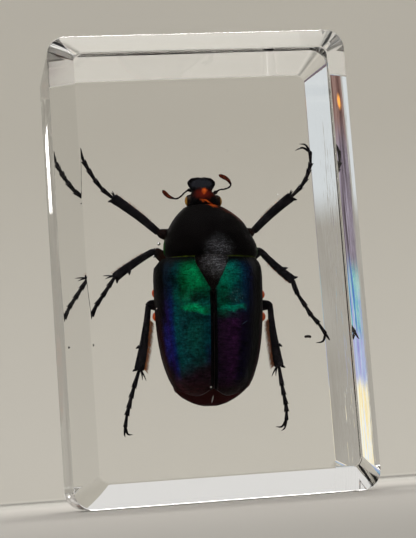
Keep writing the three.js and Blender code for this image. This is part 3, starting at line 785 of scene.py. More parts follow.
def wing_finish(side):
    """Metal of a wing case: colours across it by its UV, then a painted green glow, painted highlights on the
    belt and tips, painted shade in the dents and under the belt, painted glints, wrinkles and a dark rim.
    """
    left = side < 0
    finish = Finish("wing_case_left_metal" if left else "wing_case_right_metal")
    x, _, z = finish.axes()
    ragged = finish.warped(1.3, 1.1)
    frayed = finish.warped(0.35, 5.0, ragged)
    across, along, _ = finish.axes(finish.add("ShaderNodeUVMap", uv_map="wing").outputs["UV"])
    sway = finish.noise((0.6, 0.6, 0.3), 4)
    grain = finish.noise((11, 11, 9), 5, 0.8)
    wrinkle = finish.noise((1.6, 1.6, 7), 6, 0.7, 0.6)
    streak = finish.noise((5, 5, 0.5), 4, 0.6)
    (left_metal if left else right_metal)(finish, ragged, across + (sway - 0.5) * 0.10)

    # Painted light: a green glow by the shield, on the belt, and where light falls on the left case; the belt
    # gets a brighter painted highlight.
    by_shield = finish.patch((1.60 * side, -3.4, 0.9), (1.2, 2.6, 2.2), 0.9, 0.5 * side, ragged)
    belt = finish.patch((1.75 * side, -3.6, -1.95), (1.75, 2.8, 0.55), 0.8, -0.10 * side, frayed)
    glow = (by_shield * 0.42 + belt * 0.95).limit()
    if left:
        lit = finish.patch((-2.4, -3.2, -0.4), (1.6, 2.5, 3.0), 0.95, 0.0, ragged)
        low_green = finish.patch((-2.0, -3.2, -4.6), (1.2, 2.6, 2.8), 0.95, 0.0, ragged)
        glow = ((glow + lit * 0.30).limit() + low_green * 0.10).limit()
    finish.coat(glow, colour_of("green") if left else paint(0, 124, 92))
    finish.coat(belt, paint(0, 190, 124) if left else paint(0, 150, 120), 0.45)
    # Painted shade: dark in the dents above the belt and in a band under it.
    dent_shade = finish.patch((1.45 * side, -3.8, -1.0), (1.25, 2.6, 0.62), 0.85, 0.15 * side, frayed)
    finish.coat(dent_shade, paint(5, 24, 24), 0.8)
    shade_under_belt = finish.patch((1.6 * side, -3.6, -2.75), (1.6, 2.6, 0.4), 0.9, 0.0, frayed)
    finish.coat(shade_under_belt, paint(3, 34, 36), 0.45)

    shade = wrinkle.between(0.38, 0.58, 0.5, 1.1) * grain.between(0.38, 0.60, 0.36, 1.48)
    shade = shade * streak.between(0.3, 0.7, 0.75, 1.1) * finish.noise(1.5, 4).between(0.3, 0.65, 0.6, 1.1)
    grey = finish.add("ShaderNodeCombineXYZ", {"X": shade, "Y": shade, "Z": shade}).outputs[0]
    finish.base = finish.mix(1.0, finish.base, grey, "MULTIPLY")
    finish.coat(z.between(2.1, 3.0), colour_of("black"))
    finish.coat(abs(x).between(0.38, 0.28) * z.between(0.3, -0.5), paint(8, 6, 8))
    margin = finish.mix(z.between(-1.0, -5.0), colour_of("black"), paint(34, 11, 13))
    finish.coat(across.between(0.88, 0.96), margin)
    # Painted glints: pale teal specks over the dents, thicker on the right case.
    dust = finish.noise(13.0, 3, 0.65).between(0.56, 0.66)
    glint_patch = finish.patch((2.2 * side, -3.6, -0.8), (1.3, 2.6, 1.0), 0.9, 0.0, ragged)
    finish.coat(dust * glint_patch, paint(120, 160, 160), 0.2 if left else 0.7)
    if not left:
        finish.coat(finish.patch((3.0, -3.0, -3.33), (0.48, 2.5, 0.045), 0.6, -0.6), paint(70, 90, 110), 0.6)
    finish.coat(finish.patch((-0.28, -1.6, -9.30), (0.11, 1.5, 0.11), 0.4), paint(190, 190, 186))
    # Painted highlight along the lowest edge at the tip of each wing case.
    finish.coat(abs(along).between(0.075, 0.055), paint(84, 76, 80), 0.40)
    return finish.chitin(grain.between(0.3, 0.7, 0.38, 0.56), grain * 0.5 + wrinkle * 0.8,
                         Metallic=across.between(0.90, 0.74, 0.0, 0.85))


def scutellum_finish():
    """Black triangle with painted grey sheen along its middle, like the shield's hind part."""
    finish = Finish("scutellum_chitin")
    finish.base = finish.mix(finish.noise(1.6, 3), colour_of("black"), paint(20, 13, 11))
    # Painted grey sheen along the middle.
    sheen_patch = finish.patch((0.35, -3.4, 2.7), (1.7, 2.5, 2.2), 0.95, 0.0, finish.warped(1.1, 1.3))
    waves, grains = painted_sheen(finish, sheen_patch, 0.12, paint(138, 138, 144))
    return finish.chitin(0.42, waves + grains * 0.3, depth=0.04, strength=0.6)


def head_finish():
    """Dark grey plate with fine pits, lit orange where the chitin is thin between the eyes."""
    finish = Finish("head_chitin")
    ragged = finish.warped(0.7, 2.4)
    z = finish.axes()[2]
    grains = finish.noise(7.0, 4, 0.7)
    plate = z.between(9.8, 10.3)
    grey = finish.mix(grains, paint(14, 14, 18), paint(52, 54, 62))
    finish.base = finish.mix(plate, colour_of("black"), grey)
    rim = finish.patch((-0.36, 0.2, 10.42), (1.16, 2.0, 0.56), 0.25)
    finish.coat((1.0 - rim) * plate, paint(10, 9, 11))
    # Painted orange glow where the thin chitin is lit from behind: a red brown halo, an amber core and a line
    # at its hind edge.
    wide = finish.patch((-0.25, -0.5, 9.40), (1.35, 1.7, 0.75), 0.9, 0.0, ragged)
    finish.coat(wide, paint(104, 26, 12), 0.8)
    finish.coat(finish.patch((-0.14, -0.6, 9.72), (0.36, 1.7, 0.50), 0.95, 0.0, ragged), colour_of("amber"))
    glow_lip = finish.patch((-0.05, -0.6, 8.56), (0.8, 2.2, 0.17), 0.8, 0.37, ragged)
    finish.coat(glow_lip, paint(200, 84, 24), 0.9)
    return finish.chitin(0.42, finish.pits(7.0).between(0.05, 0.35) + grains, 0.4)


def eye_finish():
    """Dark faceted lens with an amber outer rim."""
    finish = Finish("eye_lens")
    x = finish.axes()[0]
    facets = finish.pits(26.0)
    finish.base = finish.mix(abs(x + 0.22).between(1.56, 1.74), paint(34, 18, 12), paint(196, 140, 40))
    finish.coat(facets.between(0.2, 0.5, 0.0, 0.35), paint(20, 12, 8))
    return finish.surface(Roughness=0.22, Specular_IOR_Level=0.12, Normal=finish.bump(facets, 0.01, 0.5))


def antenna_finish():
    """Dark stalk and red brown club, told apart by where the clubs are."""
    finish = Finish("antenna_chitin")
    x, _, z = finish.axes()
    club = (x.between(-3.1, -3.5) + z.between(10.5, 10.8) * x.between(0.0, 1.0)).limit()
    grains = finish.noise(6.0, 4, 0.7)
    finish.base = finish.mix(grains, paint(10, 8, 10), paint(44, 38, 42))
    finish.coat(club, finish.mix(grains.between(0.35, 0.65), paint(40, 18, 18), paint(112, 48, 32)))
    return finish.chitin(0.45, grains, 0.4, 0.01, 0.4)


def leg_finish():
    """Black legs: fine grains, a brown tint near the body, a little grey where they catch light."""
    finish = Finish("leg_chitin")
    x = finish.axes()[0]
    grains = finish.noise(7.0, 5, 0.7)
    patches = finish.noise(1.1, 3)
    finish.base = finish.mix(patches.between(0.45, 0.7), paint(25, 24, 28), paint(40, 36, 39))
    finish.coat(grains.between(0.56, 0.72, 0.0, 0.4), paint(72, 70, 74))
    finish.coat(abs(x).between(5.1, 4.3) * patches.between(0.4, 0.6, 0.2, 0.8), paint(58, 34, 22))
    return finish.chitin(grains.between(0.3, 0.7, 0.3, 0.5), grains + finish.pits(5.0) * 0.6)


def belly_finish():
    """Maroon-brown belly: fine pits, ring plates with painted highlights on their hind edges and painted shade
    in their seams, a darker chest, and a painted highlight streak on the tail plate.
    """
    finish = Finish("belly_chitin")
    x, y, z = finish.axes()
    grains = finish.noise(6.0, 5, 0.7)
    step = finish.math("FRACT", (z + RING_START) * (1 / RING_STEP), 0.5)
    finish.base = finish.mix(grains, paint(70, 30, 22), paint(124, 62, 44))
    finish.coat(abs(x).between(1.2, 4.2), paint(52, 20, 16))
    # Painted highlight on the hind edge of each ring plate, and painted shade in the seam before the next.
    finish.coat(step.between(0.16, 0.05), paint(178, 108, 62))
    finish.coat(step.between(0.86, 0.96), paint(14, 8, 8))
    finish.coat(z.between(-2.3, -1.9), finish.mix(finish.noise(1.4, 4), paint(26, 16, 15), paint(74, 44, 34)))
    rings = finish.base
    finish.base = finish.mix(grains, paint(30, 13, 12), colour_of("maroon"))
    finish.coat(y.between(0.7, 1.5), rings)
    finish.coat(abs(x).between(4.55, 4.75), paint(190, 84, 30))
    # Painted highlight: a pale streak down the middle ridge of the tail plate.
    finish.coat(finish.patch((0.0, -0.1, -10.36), (0.08, 1.0, 0.46), 0.5, 0.2), paint(176, 170, 166), 0.8)
    return finish.chitin(0.4, finish.pits(5.5).between(0.05, 0.3) + grains, 0.4, strength=0.6)


def plain_finish(name):
    """Two colours mixed by noise, as PLAIN_FINISHES lists them."""
    scale, first, second, rough, shine = PLAIN_FINISHES[name]
    finish = Finish(name)
    finish.base = finish.mix(finish.noise(scale, 3), paint(*first), paint(*second))
    return finish.surface(Roughness=rough, Specular_IOR_Level=shine)


def wall_finish():
    """Matt studio paint: the floor darkens away from the block, painted shade against the lamps' light; the far
    wall is pale, the near one dark.
    """
    studio = bpy.context.scene.studio
    finish = Finish("studio_paint", False)
    x, y, _ = finish.axes()
    upward = finish.axes(finish.add("ShaderNodeNewGeometry").outputs["Normal"])[2]
    upright = finish.mix(finish.noise(2.2, 2) * 0.3, tuple(studio.wall), paint(196, 190, 187))
    bearing = finish.math("ARCTAN2", x, y)
    shaded = bearing.between(0.38, 0.50) * bearing.between(0.95, 0.75)
    upright = finish.mix(shaded * 0.35, upright, paint(190, 187, 179))
    away = finish.length(finish.at)
    # Painted shade: the floor paints are darker than the wall's, to even out the lamps' light on the floor.
    finish.base = finish.mix(away.between(0.07, 0.15), paint(149, 146, 141), tuple(studio.floor))
    finish.coat(away.between(0.18, 0.30), paint(124, 122, 117))
    finish.coat(away.between(0.30, 0.70) * y.between(-0.9, 0.2), upright)
    finish.coat(y.between(-0.2, -0.9) * upward.between(0.9, 0.3), tuple(studio.side))
    return finish.surface(Roughness=1.0, Specular_IOR_Level=0.0)


def spectrum_finish():
    """Glowing streaked card: gold at its foot, then lilac, rainbow, violet and warm, with an orange glint."""
    finish = Finish("spectrum_card", False)
    x, _, z = finish.axes()
    broad = finish.noise((60, 60, 22), 2, 0.6, 0.4)
    hue = (finish.noise((260, 260, 8), 4, 0.65) * 0.7 + broad * 0.5).between(0.40, 0.80)
    rise = z + (broad - 0.5) * 0.03
    finish.base = finish.ramp(hue, *CARD_GOLD)
    for low, high, stops in CARD_BANDS:
        finish.coat(rise.between(low, high), finish.ramp(hue, *stops))
    finish.coat(finish.patch((-0.158, 0.574, 0.178), (0.009, 1.0, 0.005), 0.8), (1.6, 0.62, 0.10))
    high = z.between(0.118, 0.140) * x.between(-0.182, -0.189)
    plain = finish.mix(hue, paint(156, 151, 142), paint(176, 172, 164))
    finish.coat((x + z * 0.08).between(-0.162, -0.167), finish.mix(high, plain, (0.68, 0.72, 0.74)))
    return finish.surface(Base_Color=paint(20, 20, 20), Roughness=1.0, Specular_IOR_Level=0.0,
                          Emission_Color=finish.base, Emission_Strength=1.0)


# ---------------------------------------------------------------- operators

def stage_piece(name, mesh, material):
    """A thing of the studio, which isn't part of the object."""
    thing = bpy.data.objects.new(name, mesh)
    bpy.context.collection.objects.link(thing)
    mesh.materials.append(material)
    thing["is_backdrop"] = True


def build_cove(radius):
    """Floor and round wall in one sheet: flat, a quarter circle up, then upright; a hub closes the middle."""
    flat = np.linspace(0.001, radius - COVE_BEND, 24)
    turn = np.linspace(-math.pi / 2, 0, 24)
    out = np.concatenate((flat, radius - COVE_BEND + COVE_BEND * np.cos(turn), [radius]))
    up = np.concatenate((0 * flat, COVE_BEND + COVE_BEND * np.sin(turn), [COVE_HEIGHT])) - COVE_SINK
    round_ = np.linspace(0, 2 * math.pi, 160, endpoint=False)
    out, up = out[:, None], up[:, None]
    grid = np.stack((out * np.cos(round_), out * np.sin(round_), up + 0 * round_), -1)
    rows, columns = grid.shape[:2]
    points = np.concatenate((grid.reshape(-1, 3), [[0.0, 0.0, -COVE_SINK]]))
    step = np.arange(columns)
    hub = np.stack((step, (step + 1) % columns, np.full(columns, rows * columns)), -1)
    cove = make_mesh("studio_cove", [(points, [quads(rows, columns, True)[:, ::-1], hub])], False)
    stage_piece("studio_cove", cove, wall_finish())


def build_sky(scene):
    """Soft sky, a little dimmer towards the horizon."""
    world = bpy.data.worlds.new("soft_sky")
    scene.world = world
    world.use_nodes = True
    nodes, links = world.node_tree.nodes, world.node_tree.links
    background = nodes["Background"]
    background.inputs["Color"].default_value = (*DAYLIGHT, 1.0)
    axes = nodes.new("ShaderNodeSeparateXYZ")
    links.new(nodes.new("ShaderNodeTexCoord").outputs["Generated"], axes.inputs[0])
    rise = nodes.new("ShaderNodeMapRange")
    sky = scene.studio.sky
    for key, value in (SKY_RISE | {"To Min": SKY_LOW_SHARE * sky, "To Max": sky}).items():
        rise.inputs[key].default_value = value
    links.new(axes.outputs["Z"], rise.inputs["Value"])
    links.new(rise.outputs["Result"], background.inputs["Strength"])


def build_card():
    """Upright glowing card behind the block's right side, seen only through its bevel."""
    corners = np.array([(x, CARD_Y, z) for z in (0.0, CARD_TOP) for x in CARD_X])
    stage_piece("spectrum_card", make_mesh("spectrum_card", [(corners, [quads(2, 2, False)])], False),
                spectrum_finish())


def build_lamps(scene):
    for name, (spot, target, size, power, spread) in LAMPS.items():
        lamp = bpy.data.lights.new(name, "AREA")
        lamp.shape = "RECTANGLE"
        lamp.size, lamp.size_y = size
        lamp.energy = scene.studio.key if power is None else power
        lamp.color = DAYLIGHT
        lamp.spread = math.radians(spread)
        holder = bpy.data.objects.new(name, lamp)
        holder.location = spot
        holder.rotation_euler = (Vector(target) - Vector(spot)).to_track_quat("-Z", "Y").to_euler()
        bpy.context.collection.objects.link(holder)


def build_camera(scene):
    camera = bpy.data.cameras.new("camera")
    camera.sensor_fit = "HORIZONTAL"
    camera.sensor_width = 36.0
    camera.lens = scene.studio.lens
    camera.clip_start, camera.clip_end = 0.005, 20.0
    eye = bpy.data.objects.new("camera", camera)
    bpy.context.collection.objects.link(eye)
    turn = Matrix.Identity(4)
    for degrees, axis in ((CAMERA_YAW, "Z"), (CAMERA_PITCH, "X"), (CAMERA_ROLL, "Y"), (90, "X")):
        turn = turn @ Matrix.Rotation(math.radians(degrees), 4, axis)
    eye.matrix_world = Matrix.Translation(CAMERA_PLACE) @ turn
    scene.camera = eye
    scene.view_settings.view_transform = "Standard"


class BuildStudio(bpy.types.Operator):
    """Pale floor that curves up into a round wall, soft sky, glowing card, lamps and the camera"""
    bl_idname = "resin_beetle.studio"
    bl_label = "Studio"

    def execute(self, context):
        build_cove(context.scene.studio.radius)
        build_sky(context.scene)
        build_card()
        build_lamps(context.scene)
        build_camera(context.scene)
        return {"FINISHED"}


def block_profile(sizes):
    """Inset, depth and turn of the block's edge from the front face to the back. Over each bevel the slope
    turns quickly, then slowly by the crown, then quickly; its cosine and sine are summed and scaled."""
    half, reach = sizes.depth / 2, sizes.bevel + sizes.softness
    run = np.linspace(0, 1, 200)
    keep = np.concatenate((np.linspace(0, 18, 9), np.linspace(18, 181, 13)[1:-1], np.linspace(181, 199, 9)))
    keep = keep.round().astype(int)
    parts = []
    for crown, face in ((sizes.crown, -1), (sizes.back_crown, 1)):
        slope = np.interp(run, SOFT_RUN, np.radians((0, 45 - crown, 45 + crown, 90)))
        order = keep if face < 0 else keep[::-1]
        step_in, step_back = (np.concatenate(([0], np.cumsum((wave[1:] + wave[:-1]) / 2)))
                              for wave in (np.cos(slope), np.sin(slope)))
        parts.append((reach * (1 - step_in[order] / step_in[-1]),
                      face * (half - reach * step_back[order] / step_back[-1]),
                      slope[order] if face < 0 else math.pi - slope[order]))
    return (np.concatenate(both) for both in zip(*parts))


class CastBlock(bpy.types.Operator):
    """Clear resin block: bevelled front and back, softened edges, with its air bubbles"""
    bl_idname = "resin_beetle.block"
    bl_label = "Resin block"

    def execute(self, context):
        sizes = context.scene.resin_block
        inset, depth, turn = block_profile(sizes)
        wide, tall = sizes.width / 2, sizes.height / 2
        shrink = (sizes.corner - sizes.face_corner) / sizes.bevel
        bow = (sizes.corner - shrink * np.minimum(inset, sizes.bevel))[:, None]
        quarter = np.linspace(0, math.pi / 2, 15)
        rim_turn = np.concatenate([quarter + k * math.pi / 2 for k in range(4)])
        corner = np.repeat((np.arange(4) + 0.5) * math.pi / 2, 15)
        x = np.sign(np.cos(corner)) * (wide - inset[:, None] - bow) + bow * np.cos(rim_turn)
        z = np.sign(np.sin(corner)) * (tall - inset[:, None] - bow) + bow * np.sin(rim_turn)
        grid = np.stack((x, depth[:, None] + 0 * rim_turn, z + tall + float(CAD_LOW[2])), axis=-1)
        reach = (1 - shrink) * (np.abs(np.cos(rim_turn)) + np.abs(np.sin(rim_turn))) + shrink
        out = np.sin(turn)[:, None] + 0 * reach
        ahead = -np.cos(turn)[:, None] * reach
        normal = np.stack((out * np.cos(rim_turn), ahead, out * np.sin(rim_turn)), axis=-1)
        normal /= np.linalg.norm(normal, axis=-1, keepdims=True)
        shells = [facing(*tube(grid), 1)]
        normals = [normal.reshape(-1, 3), [[0, -1, 0], [0, 1, 0]]]
        bubbles = np.array(AIR_BUBBLES)
        for spot, radius in zip(place(bubbles[:, :3]), bubbles[:, 3] * MM):
            shell, cells = ball(spot, (radius,) * 3, 14, 18)
            shells.append(facing(shell, cells, -1))
            normals.append((spot - shell) / np.linalg.norm(spot - shell, axis=1, keepdims=True))
        piece = add_piece("resin_block", shells, resin_finish(), ("resin_front", "resin_back"),
                          in_beetle=False, outward=False)
        piece.data.normals_split_custom_set_from_vertices(np.concatenate(normals).tolist())
        return {"FINISHED"}


def build_wing_case(name, side):
    """Arched shell from base to apex: half an ellipse at each height, open by the inner gap at the suture."""
    rows, columns = 240, 130
    share = np.linspace(0, 1, columns)[None, :]
    down = np.linspace(0, 1, rows)[:, None]
    lateral = bulge(np.sin(share * math.pi / 2))
    top, bottom = (np.interp(lateral, *zip(*ends)) for ends in (WING_BASE, WING_APEX))
    z = top + (bottom - top) * down
    half, rise, inner = flow(WING_CASE, z)

    def arch(half, rise, inner):
        turn = np.arccos(np.clip(inner / half, 0, 1) ** (1 / ROUNDNESS)) * (1 - share)
        return np.stack((side * half * bulge(np.cos(turn)), WING_EDGE_Y - rise * bulge(np.sin(turn)), z), -1)

    outer = arch(half, rise, inner)
    inside = arch(half - WING_RIM, rise - WING_THICKNESS, np.minimum(inner, half - WING_RIM - 0.05))
    x = np.abs(outer[..., 0])
    from_suture = x - inner
    closed = ease(z, 0.4, -0.6)
    rim = 0.05 * ease(from_suture, 0.34, 0.26) * closed - 0.04 * hump(from_suture, 0.42, 0.09) * closed
    rim += 0.04 * hump(share, 1.0, 0.03)
    shoulder = 0.16 * hump(x, 3.7, 0.8) * hump(z, 1.7, 0.9)
    tip = 0.14 * hump(x, 2.7, 0.7) * hump(z, -8.2, 0.8)
    dents = -0.10 * hump(x, 1.2, 0.8) * hump(z, -1.05, 0.5) - 0.05 * hump(x, 2.6, 0.9) * hump(z, -0.9, 0.6)
    belt = 0.05 * hump(x, 1.8, 1.2) * hump(z, -1.95, 0.35)
    ribs = 0.005 * np.sin(x * 9.0) * ease(x, 0.6, 1.2) * ease(x, 4.2, 3.2) * ease(z, 1.0, -3.0)
    leather = 0.006 * ripple(outer, 0.45, 11) + 0.004 * ripple(outer, 0.2, 12)
    outer = raised(outer, rim + shoulder + tip + dents + belt + ribs + leather, (0, 1.0, -3.0), False)
    piece = add_piece(name, [lens(outer, inside)], wing_finish(side),
                      (name,))
    sheet_uv = np.stack((x / half, (z + 11) / 14), axis=-1).reshape(-1, 2)
    layer = piece.data.uv_layers.new(name="wing")
    index = np.zeros(len(piece.data.loops), np.int32)
    piece.data.loops.foreach_get("vertex_index", index)
    layer.data.foreach_set("uv", np.concatenate((sheet_uv, sheet_uv))[index].reshape(-1))


class BuildWingCases(bpy.types.Operator):
    """Wing cases: arched shells with a raised suture, shoulder and tip bumps and a belt of dents"""
    bl_idname = "resin_beetle.wing_cases"
    bl_label = "Wing cases"

    def execute(self, context):
        build_wing_case("elytron_left", -1)
        build_wing_case("elytron_right", 1)
        return {"FINISHED"}


class BuildShield(bpy.types.Operator):
    """Pronotum with its bead and wrinkled hind middle, and the scutellum between the wing cases"""
    bl_idname = "resin_beetle.shield"
    bl_label = "Shield and scutellum"

    def execute(self, context):
        grid, turn = ring_body(PRONOTUM, PRONOTUM_EDGE_Y, 190, 220)
        x, y, z = np.moveaxis(grid, -1, 0)
        back = ease(-y, -0.6, 0.4)
        grid[..., 2] += 0.30 * hump(x - 0.1, 0, 1.25) * ease(z, 4.6, 3.1) * back
        bead = 0.07 * hump(np.minimum(turn, np.abs(turn - math.pi)), 0.0, 0.06) * ease(z, 3.2, 3.6)
        hind = 0.05 * hump(z, 3.10, 0.10)
        # The wrinkles lie in the patch where shield_finish paints its grey sheen.
        sheen_patch = hump(x, 0.75, 1.3) * ease(z, 6.0, 4.2) * back
        fine = 0.005 * ripple(grid, 0.3, 23) + 0.004 * ripple(grid, 0.15, 24)
        height = bead + hind + 0.012 * sheen_patch * wrinkles(grid, 0.9, 21) + fine
        add_piece("pronotum", [tube(raised(grid, height, (0.1, 0.4, 5.5)))], shield_finish(),
                  ("pronotum",))

        size = SCUTELLUM
        share = np.linspace(0, 1, 90)[:, None]
        across = np.linspace(-1, 1, 60)[None, :]
        z = size["tip"] + (size["base"] - size["tip"]) * share
        reach = np.clip((z - size["tip"]) / (size["shoulder"] - size["tip"]), 0, 1) ** 0.92
        x = np.maximum(size["half_width"] * reach, 0.05) * across + 0.03
        half, rise, _ = flow(WING_CASE, z)
        turn = np.arccos(np.clip(np.abs(x) / half, 0, 1) ** (1 / ROUNDNESS))
        y = WING_EDGE_Y - rise * bulge(np.sin(turn))
        dome = 0.05 * (1 - across**2) - 0.02
        points = np.stack((x, y - dome, z + 0 * across), axis=-1)
        bead = 0.03 * hump(np.abs(across), 0.93, 0.06)
        points[..., 1] -= 0.011 * wrinkles(points, 0.8, 31) * ease(z, 0.3, 2.2) + bead
        under = points + (0.0, size["thickness"], 0.0)
        add_piece("scutellum", [lens(points, under)], scutellum_finish(), ("scutellum",))
        return {"FINISHED"}


class BuildHead(bpy.types.Operator):
    """Head with its fan-shaped front plate, the eyes, and the two elbowed antennae with leaf clubs"""
    bl_idname = "resin_beetle.head"
    bl_label = "Head, eyes and antennae"

    def execute(self, context):
        grid, _ = ring_body(HEAD, HEAD_EDGE_Y, 150, 160)
        x, y, z = np.moveaxis(grid, -1, 0)
        plate = ease(z, 9.7, 10.2)
        centre, half, _, _ = flow(HEAD, z)
        lateral = np.abs(x - centre) / half
        bead = 0.05 * plate * (hump(lateral, 0.97, 0.12) + hump(z, 10.9, 0.08)) * (y < 0.45)
        dish = -0.07 * plate * ease(lateral, 0.85, 0.3) * ease(z, 10.95, 10.7) * (y < 0.4)
        fine = 0.004 * ripple(grid, 0.25, 41) + 0.003 * ripple(grid, 0.12, 42)
        grid = raised(grid, bead + dish + fine, (-0.3, 0.4, 9.4))
        add_piece("head", [tube(grid)], head_finish(), ("head",))
        eyes = [ball(spot, EYE_RADII) for spot in EYE_SPOTS]
        add_piece("eyes", eyes, eye_finish())

        material = antenna_finish()
        for name, (stalk, club) in ANTENNAE.items():
            count = 60
            width = profile((0, 0.08, 0.2, 0.3, 0.36, 1), (0.10, 0.19, 0.17, 0.08, 0.075, 0.085), count)
            beads = 1 + 0.10 * np.cos(np.linspace(0, 12 * math.pi, count))
            shells = [limb(curve_through(stalk, count), width * beads, width * beads, 16, (0.04, 0.03))]
            for shift in (-0.11, 0.0, 0.11):
                path = curve_through([(x, CLUB_Y + shift, z) for x, z in club], 40)
                width = profile((0, 0.3, 0.65, 0.9, 1), (0.07, 0.15, 0.20, 0.16, 0.05), 40)
                shells.append(limb(path, width, 0.05, 18, (0.08, 0.12)))
            add_piece(name, shells, material, (name,))
        return {"FINISHED"}


class BuildUnderbody(bpy.types.Operator):
    """Belly with its ring plates, the tail plate that shows below the wing cases, and the thin side plates"""
    bl_idname = "resin_beetle.underbody"
    bl_label = "Underbody and tail plate"

    def execute(self, context):
        grid, _ = ring_body(UNDERBODY, UNDERBODY_EDGE_Y, 260, 200)
        x, y, z = np.moveaxis(grid, -1, 0)
        grid[..., 0] += -0.18 * ease(z, -8.5, -10.2)
        below = ease(y, 0.4, 1.2)
        step = np.mod(z + RING_START, RING_STEP) / RING_STEP
        rings = 0.10 * (1 - step) * ease(z, -2.0, -2.4) * below
        keel = 0.10 * hump(x, 0, 0.35) * ease(z, -2.0, -1.0) * below
        fine = 0.006 * ripple(grid, 0.35, 51) + 0.004 * ripple(grid, 0.16, 52)
        grid = raised(grid, rings + keel + fine - 0.05, (0, 0.6, -3.0))
        add_piece("underbody", [tube(grid)], belly_finish(), ("underbody",))
        plates = [ball(spot, (0.38, 0.42, 0.46), 16, 20) for spot in SIDE_PLATES]
        add_piece("side_plates", plates, plain_finish("thin_chitin_orange"))
        return {"FINISHED"}


def unit(vector):
    return vector / np.linalg.norm(vector)


def foot_shells(joints):
    """Five beads, each but the last with a thorn on either side of its end."""
    shells = []
    for start, end in zip(joints, joints[1:]):
        last = end is joints[-1]
        over = (end - start) * 0.06
        wide = profile((0, 0.25, 0.6, 0.88, 1), LAST_BEAD if last else BEAD, 26)
        shells.append(limb(straight(start - over, end + over, 26), wide, 0.85 * wide, 16, (0.06, 0.08)))
        if not last:
            step = unit(end - start)
            bar = np.cross(step, (0, 1, 0))
            for hand in (-1, 1):
                tip = end + bar * hand * 0.28 + step * 0.10
                shells.append(thorn(end + bar * hand * 0.15, tip, 0.06, count=5, columns=6))
    return shells


def claw_shells(joints, tips):
    """Two claws that leave the toe along the foot and curve to their tips."""
    toe, step = joints[-1], unit(joints[-1] - joints[-2])
    wide = profile((0, 0.2, 0.7, 1), (0.12, 0.13, 0.08, 0.018), 24)
    bends = [(toe - step * 0.05, (toe + tip) / 2 + step * 0.33, tip) for tip in np.array(tips)]
    return [limb(curve_through(bend, 24), wide, wide * 0.9, 12) for bend in bends]


def build_leg(number, name, leg, seed, material, bristle_material):
    """One leg and its bristles, which stand on the side of the shin away from the teeth."""
    hind = "hind" in name
    kind = SHIN[name.split("_")[1]]
    hip, knee, ankle = (np.array(leg[k]) for k in ("hip", "knee", "ankle"))
    joints = [ankle] + [np.array(p) for p in leg["foot"]]
    shells = [ball(hip, (0.8, 0.55, 0.62))]
    wide = profile((0, 0.3, 0.7, 0.9, 1), (0.5, 0.74, 0.62, 0.46, 0.3), 50)
    shells.append(limb(straight(hip, knee + (knee - hip) * 0.05, 50), wide, 0.66 * wide, 28, (0.05, 0.08)))

    shin = ankle - knee
    heading = unit(shin)
    outward = unit(np.cross(heading, (0, 1, 0))) * leg["outer"]
    thin, thick = kind["width"]
    wide = profile((0, 0.06, 0.2, 0.8, 0.96, 1),
                   (thin * 0.8, thin, thin * 1.05, thick * 0.96, thick, thick * 0.8), 90)
    path = straight(knee, ankle, 90, -SHIN_BOW * outward)
    grid = carry(path, wide * end_round(90, 0.03, 0.03), 0.62 * wide, 32, 0.9)
    fine = 0.012 * ripple(grid, 0.5, 60 + number) + 0.007 * ripple(grid, 0.22, 70 + number)
    grid += fine[..., None] * 0.7
    shells.append(tube(grid))
    length = np.linalg.norm(shin)
    for spot in kind["teeth"]:
        root = knee + heading * length * spot + outward * thick * 0.55
        shells.append(thorn(root, root + outward * 0.34 + heading * 0.26, 0.17))
    for lean in (-0.3, 0.35):
        root = ankle - heading * 0.12 - outward * thick * 0.35
        reach = heading - outward * (0.47 + lean * 0.63) + np.array((0, 0.26 * lean, 0))
        shells.append(thorn(root, root + kind["spurs"] * reach, 0.09, bend=-outward * 0.04))
    shells += foot_shells(joints) + claw_shells(joints, leg["claws"])
    add_piece(name, shells, material, (name,))

    draw = np.random.default_rng(seed + number)
    hairs = 620 if hind else 70
    spot = draw.uniform(0.22, 0.96, hairs)[:, None]
    shift = draw.uniform(-0.16, 0.16, (hairs, 1)) * np.array((0, 1, 0))
    roots = knee + heading * length * spot - SHIN_BOW * outward * (4 * spot * (1 - spot))
    roots = roots - outward * np.interp(spot, (0, 1), (thin, thick)) * 0.82 + shift
    reach = draw.uniform(0.28, 0.56, (hairs, 1)) * (1.0 if hind else 0.5)
    tips = roots - outward * reach + heading * reach * draw.uniform(0.3, 1.1, (hairs, 1))
    shells = [bristles(roots, tips, 0.016, heading * 0.02)]
    add_piece(name.replace("leg", "bristles"), shells, bristle_material)


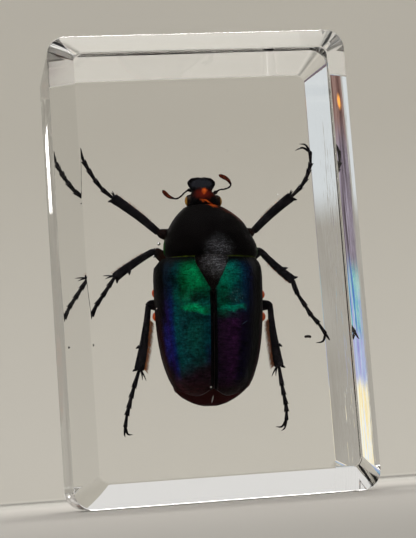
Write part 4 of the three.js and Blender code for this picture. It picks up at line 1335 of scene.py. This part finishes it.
class BuildLegs(bpy.types.Operator):
    """Six legs: hip, thigh, toothed shin with spurs, five-jointed foot, two curved claws, and bristles"""
    bl_idname = "resin_beetle.legs"
    bl_label = "Legs"

    def execute(self, context):
        materials = leg_finish(), plain_finish("bristle_brown")
        for number, (name, leg) in enumerate(LEGS.items()):
            build_leg(number, name, leg, context.scene.studio.seed, *materials)
        return {"FINISHED"}


class BuildInclusions(bpy.types.Operator):
    """Two dark specks of dust caught in the resin"""
    bl_idname = "resin_beetle.inclusions"
    bl_label = "Dust"

    def execute(self, context):
        path = curve_through(((9.15, 0.0, -4.6), (9.5, 0.0, -4.55), (9.85, 0.0, -4.62)), 16)
        shells = [limb(path, 0.13, 0.08, 10, (0.2, 0.2)), ball((-11.2, 0.0, -5.03), (0.1, 0.1, 0.12), 10, 12)]
        add_piece("dust_specks", shells, plain_finish("dust_dark"))
        return {"FINISHED"}


class ResinBeetlePanel(bpy.types.Panel):
    bl_label = "Resin beetle"
    bl_idname = "VIEW3D_PT_resin_beetle"
    bl_space_type = "VIEW_3D"
    bl_region_type = "UI"
    bl_category = "Resin beetle"

    def draw(self, context):
        for step in STEPS:
            self.layout.operator(step.bl_idname)
        for group in (context.scene.resin_block, context.scene.beetle_colours, context.scene.studio):
            box = self.layout.box()
            for name in group.__annotations__:
                box.prop(group, name)


STEPS = (BuildStudio, CastBlock, BuildUnderbody, BuildWingCases, BuildShield, BuildHead, BuildLegs,
         BuildInclusions)
GROUPS = {"resin_block": ResinBlockSizes, "beetle_colours": BeetleColours, "studio": StudioSettings}


def register():
    for group in GROUPS.values():
        bpy.utils.register_class(group)
    for name, group in GROUPS.items():
        setattr(bpy.types.Scene, name, PointerProperty(type=group))
    for step in (*STEPS, ResinBeetlePanel):
        bpy.utils.register_class(step)


def unregister():
    for step in reversed((*STEPS, ResinBeetlePanel)):
        bpy.utils.unregister_class(step)
    for name in GROUPS:
        delattr(bpy.types.Scene, name)
    for group in GROUPS.values():
        bpy.utils.unregister_class(group)


def main():
    register()
    for step in STEPS:
        space, name = step.bl_idname.split(".")
        getattr(getattr(bpy.ops, space), name)()


if __name__ == "__main__":
    main()
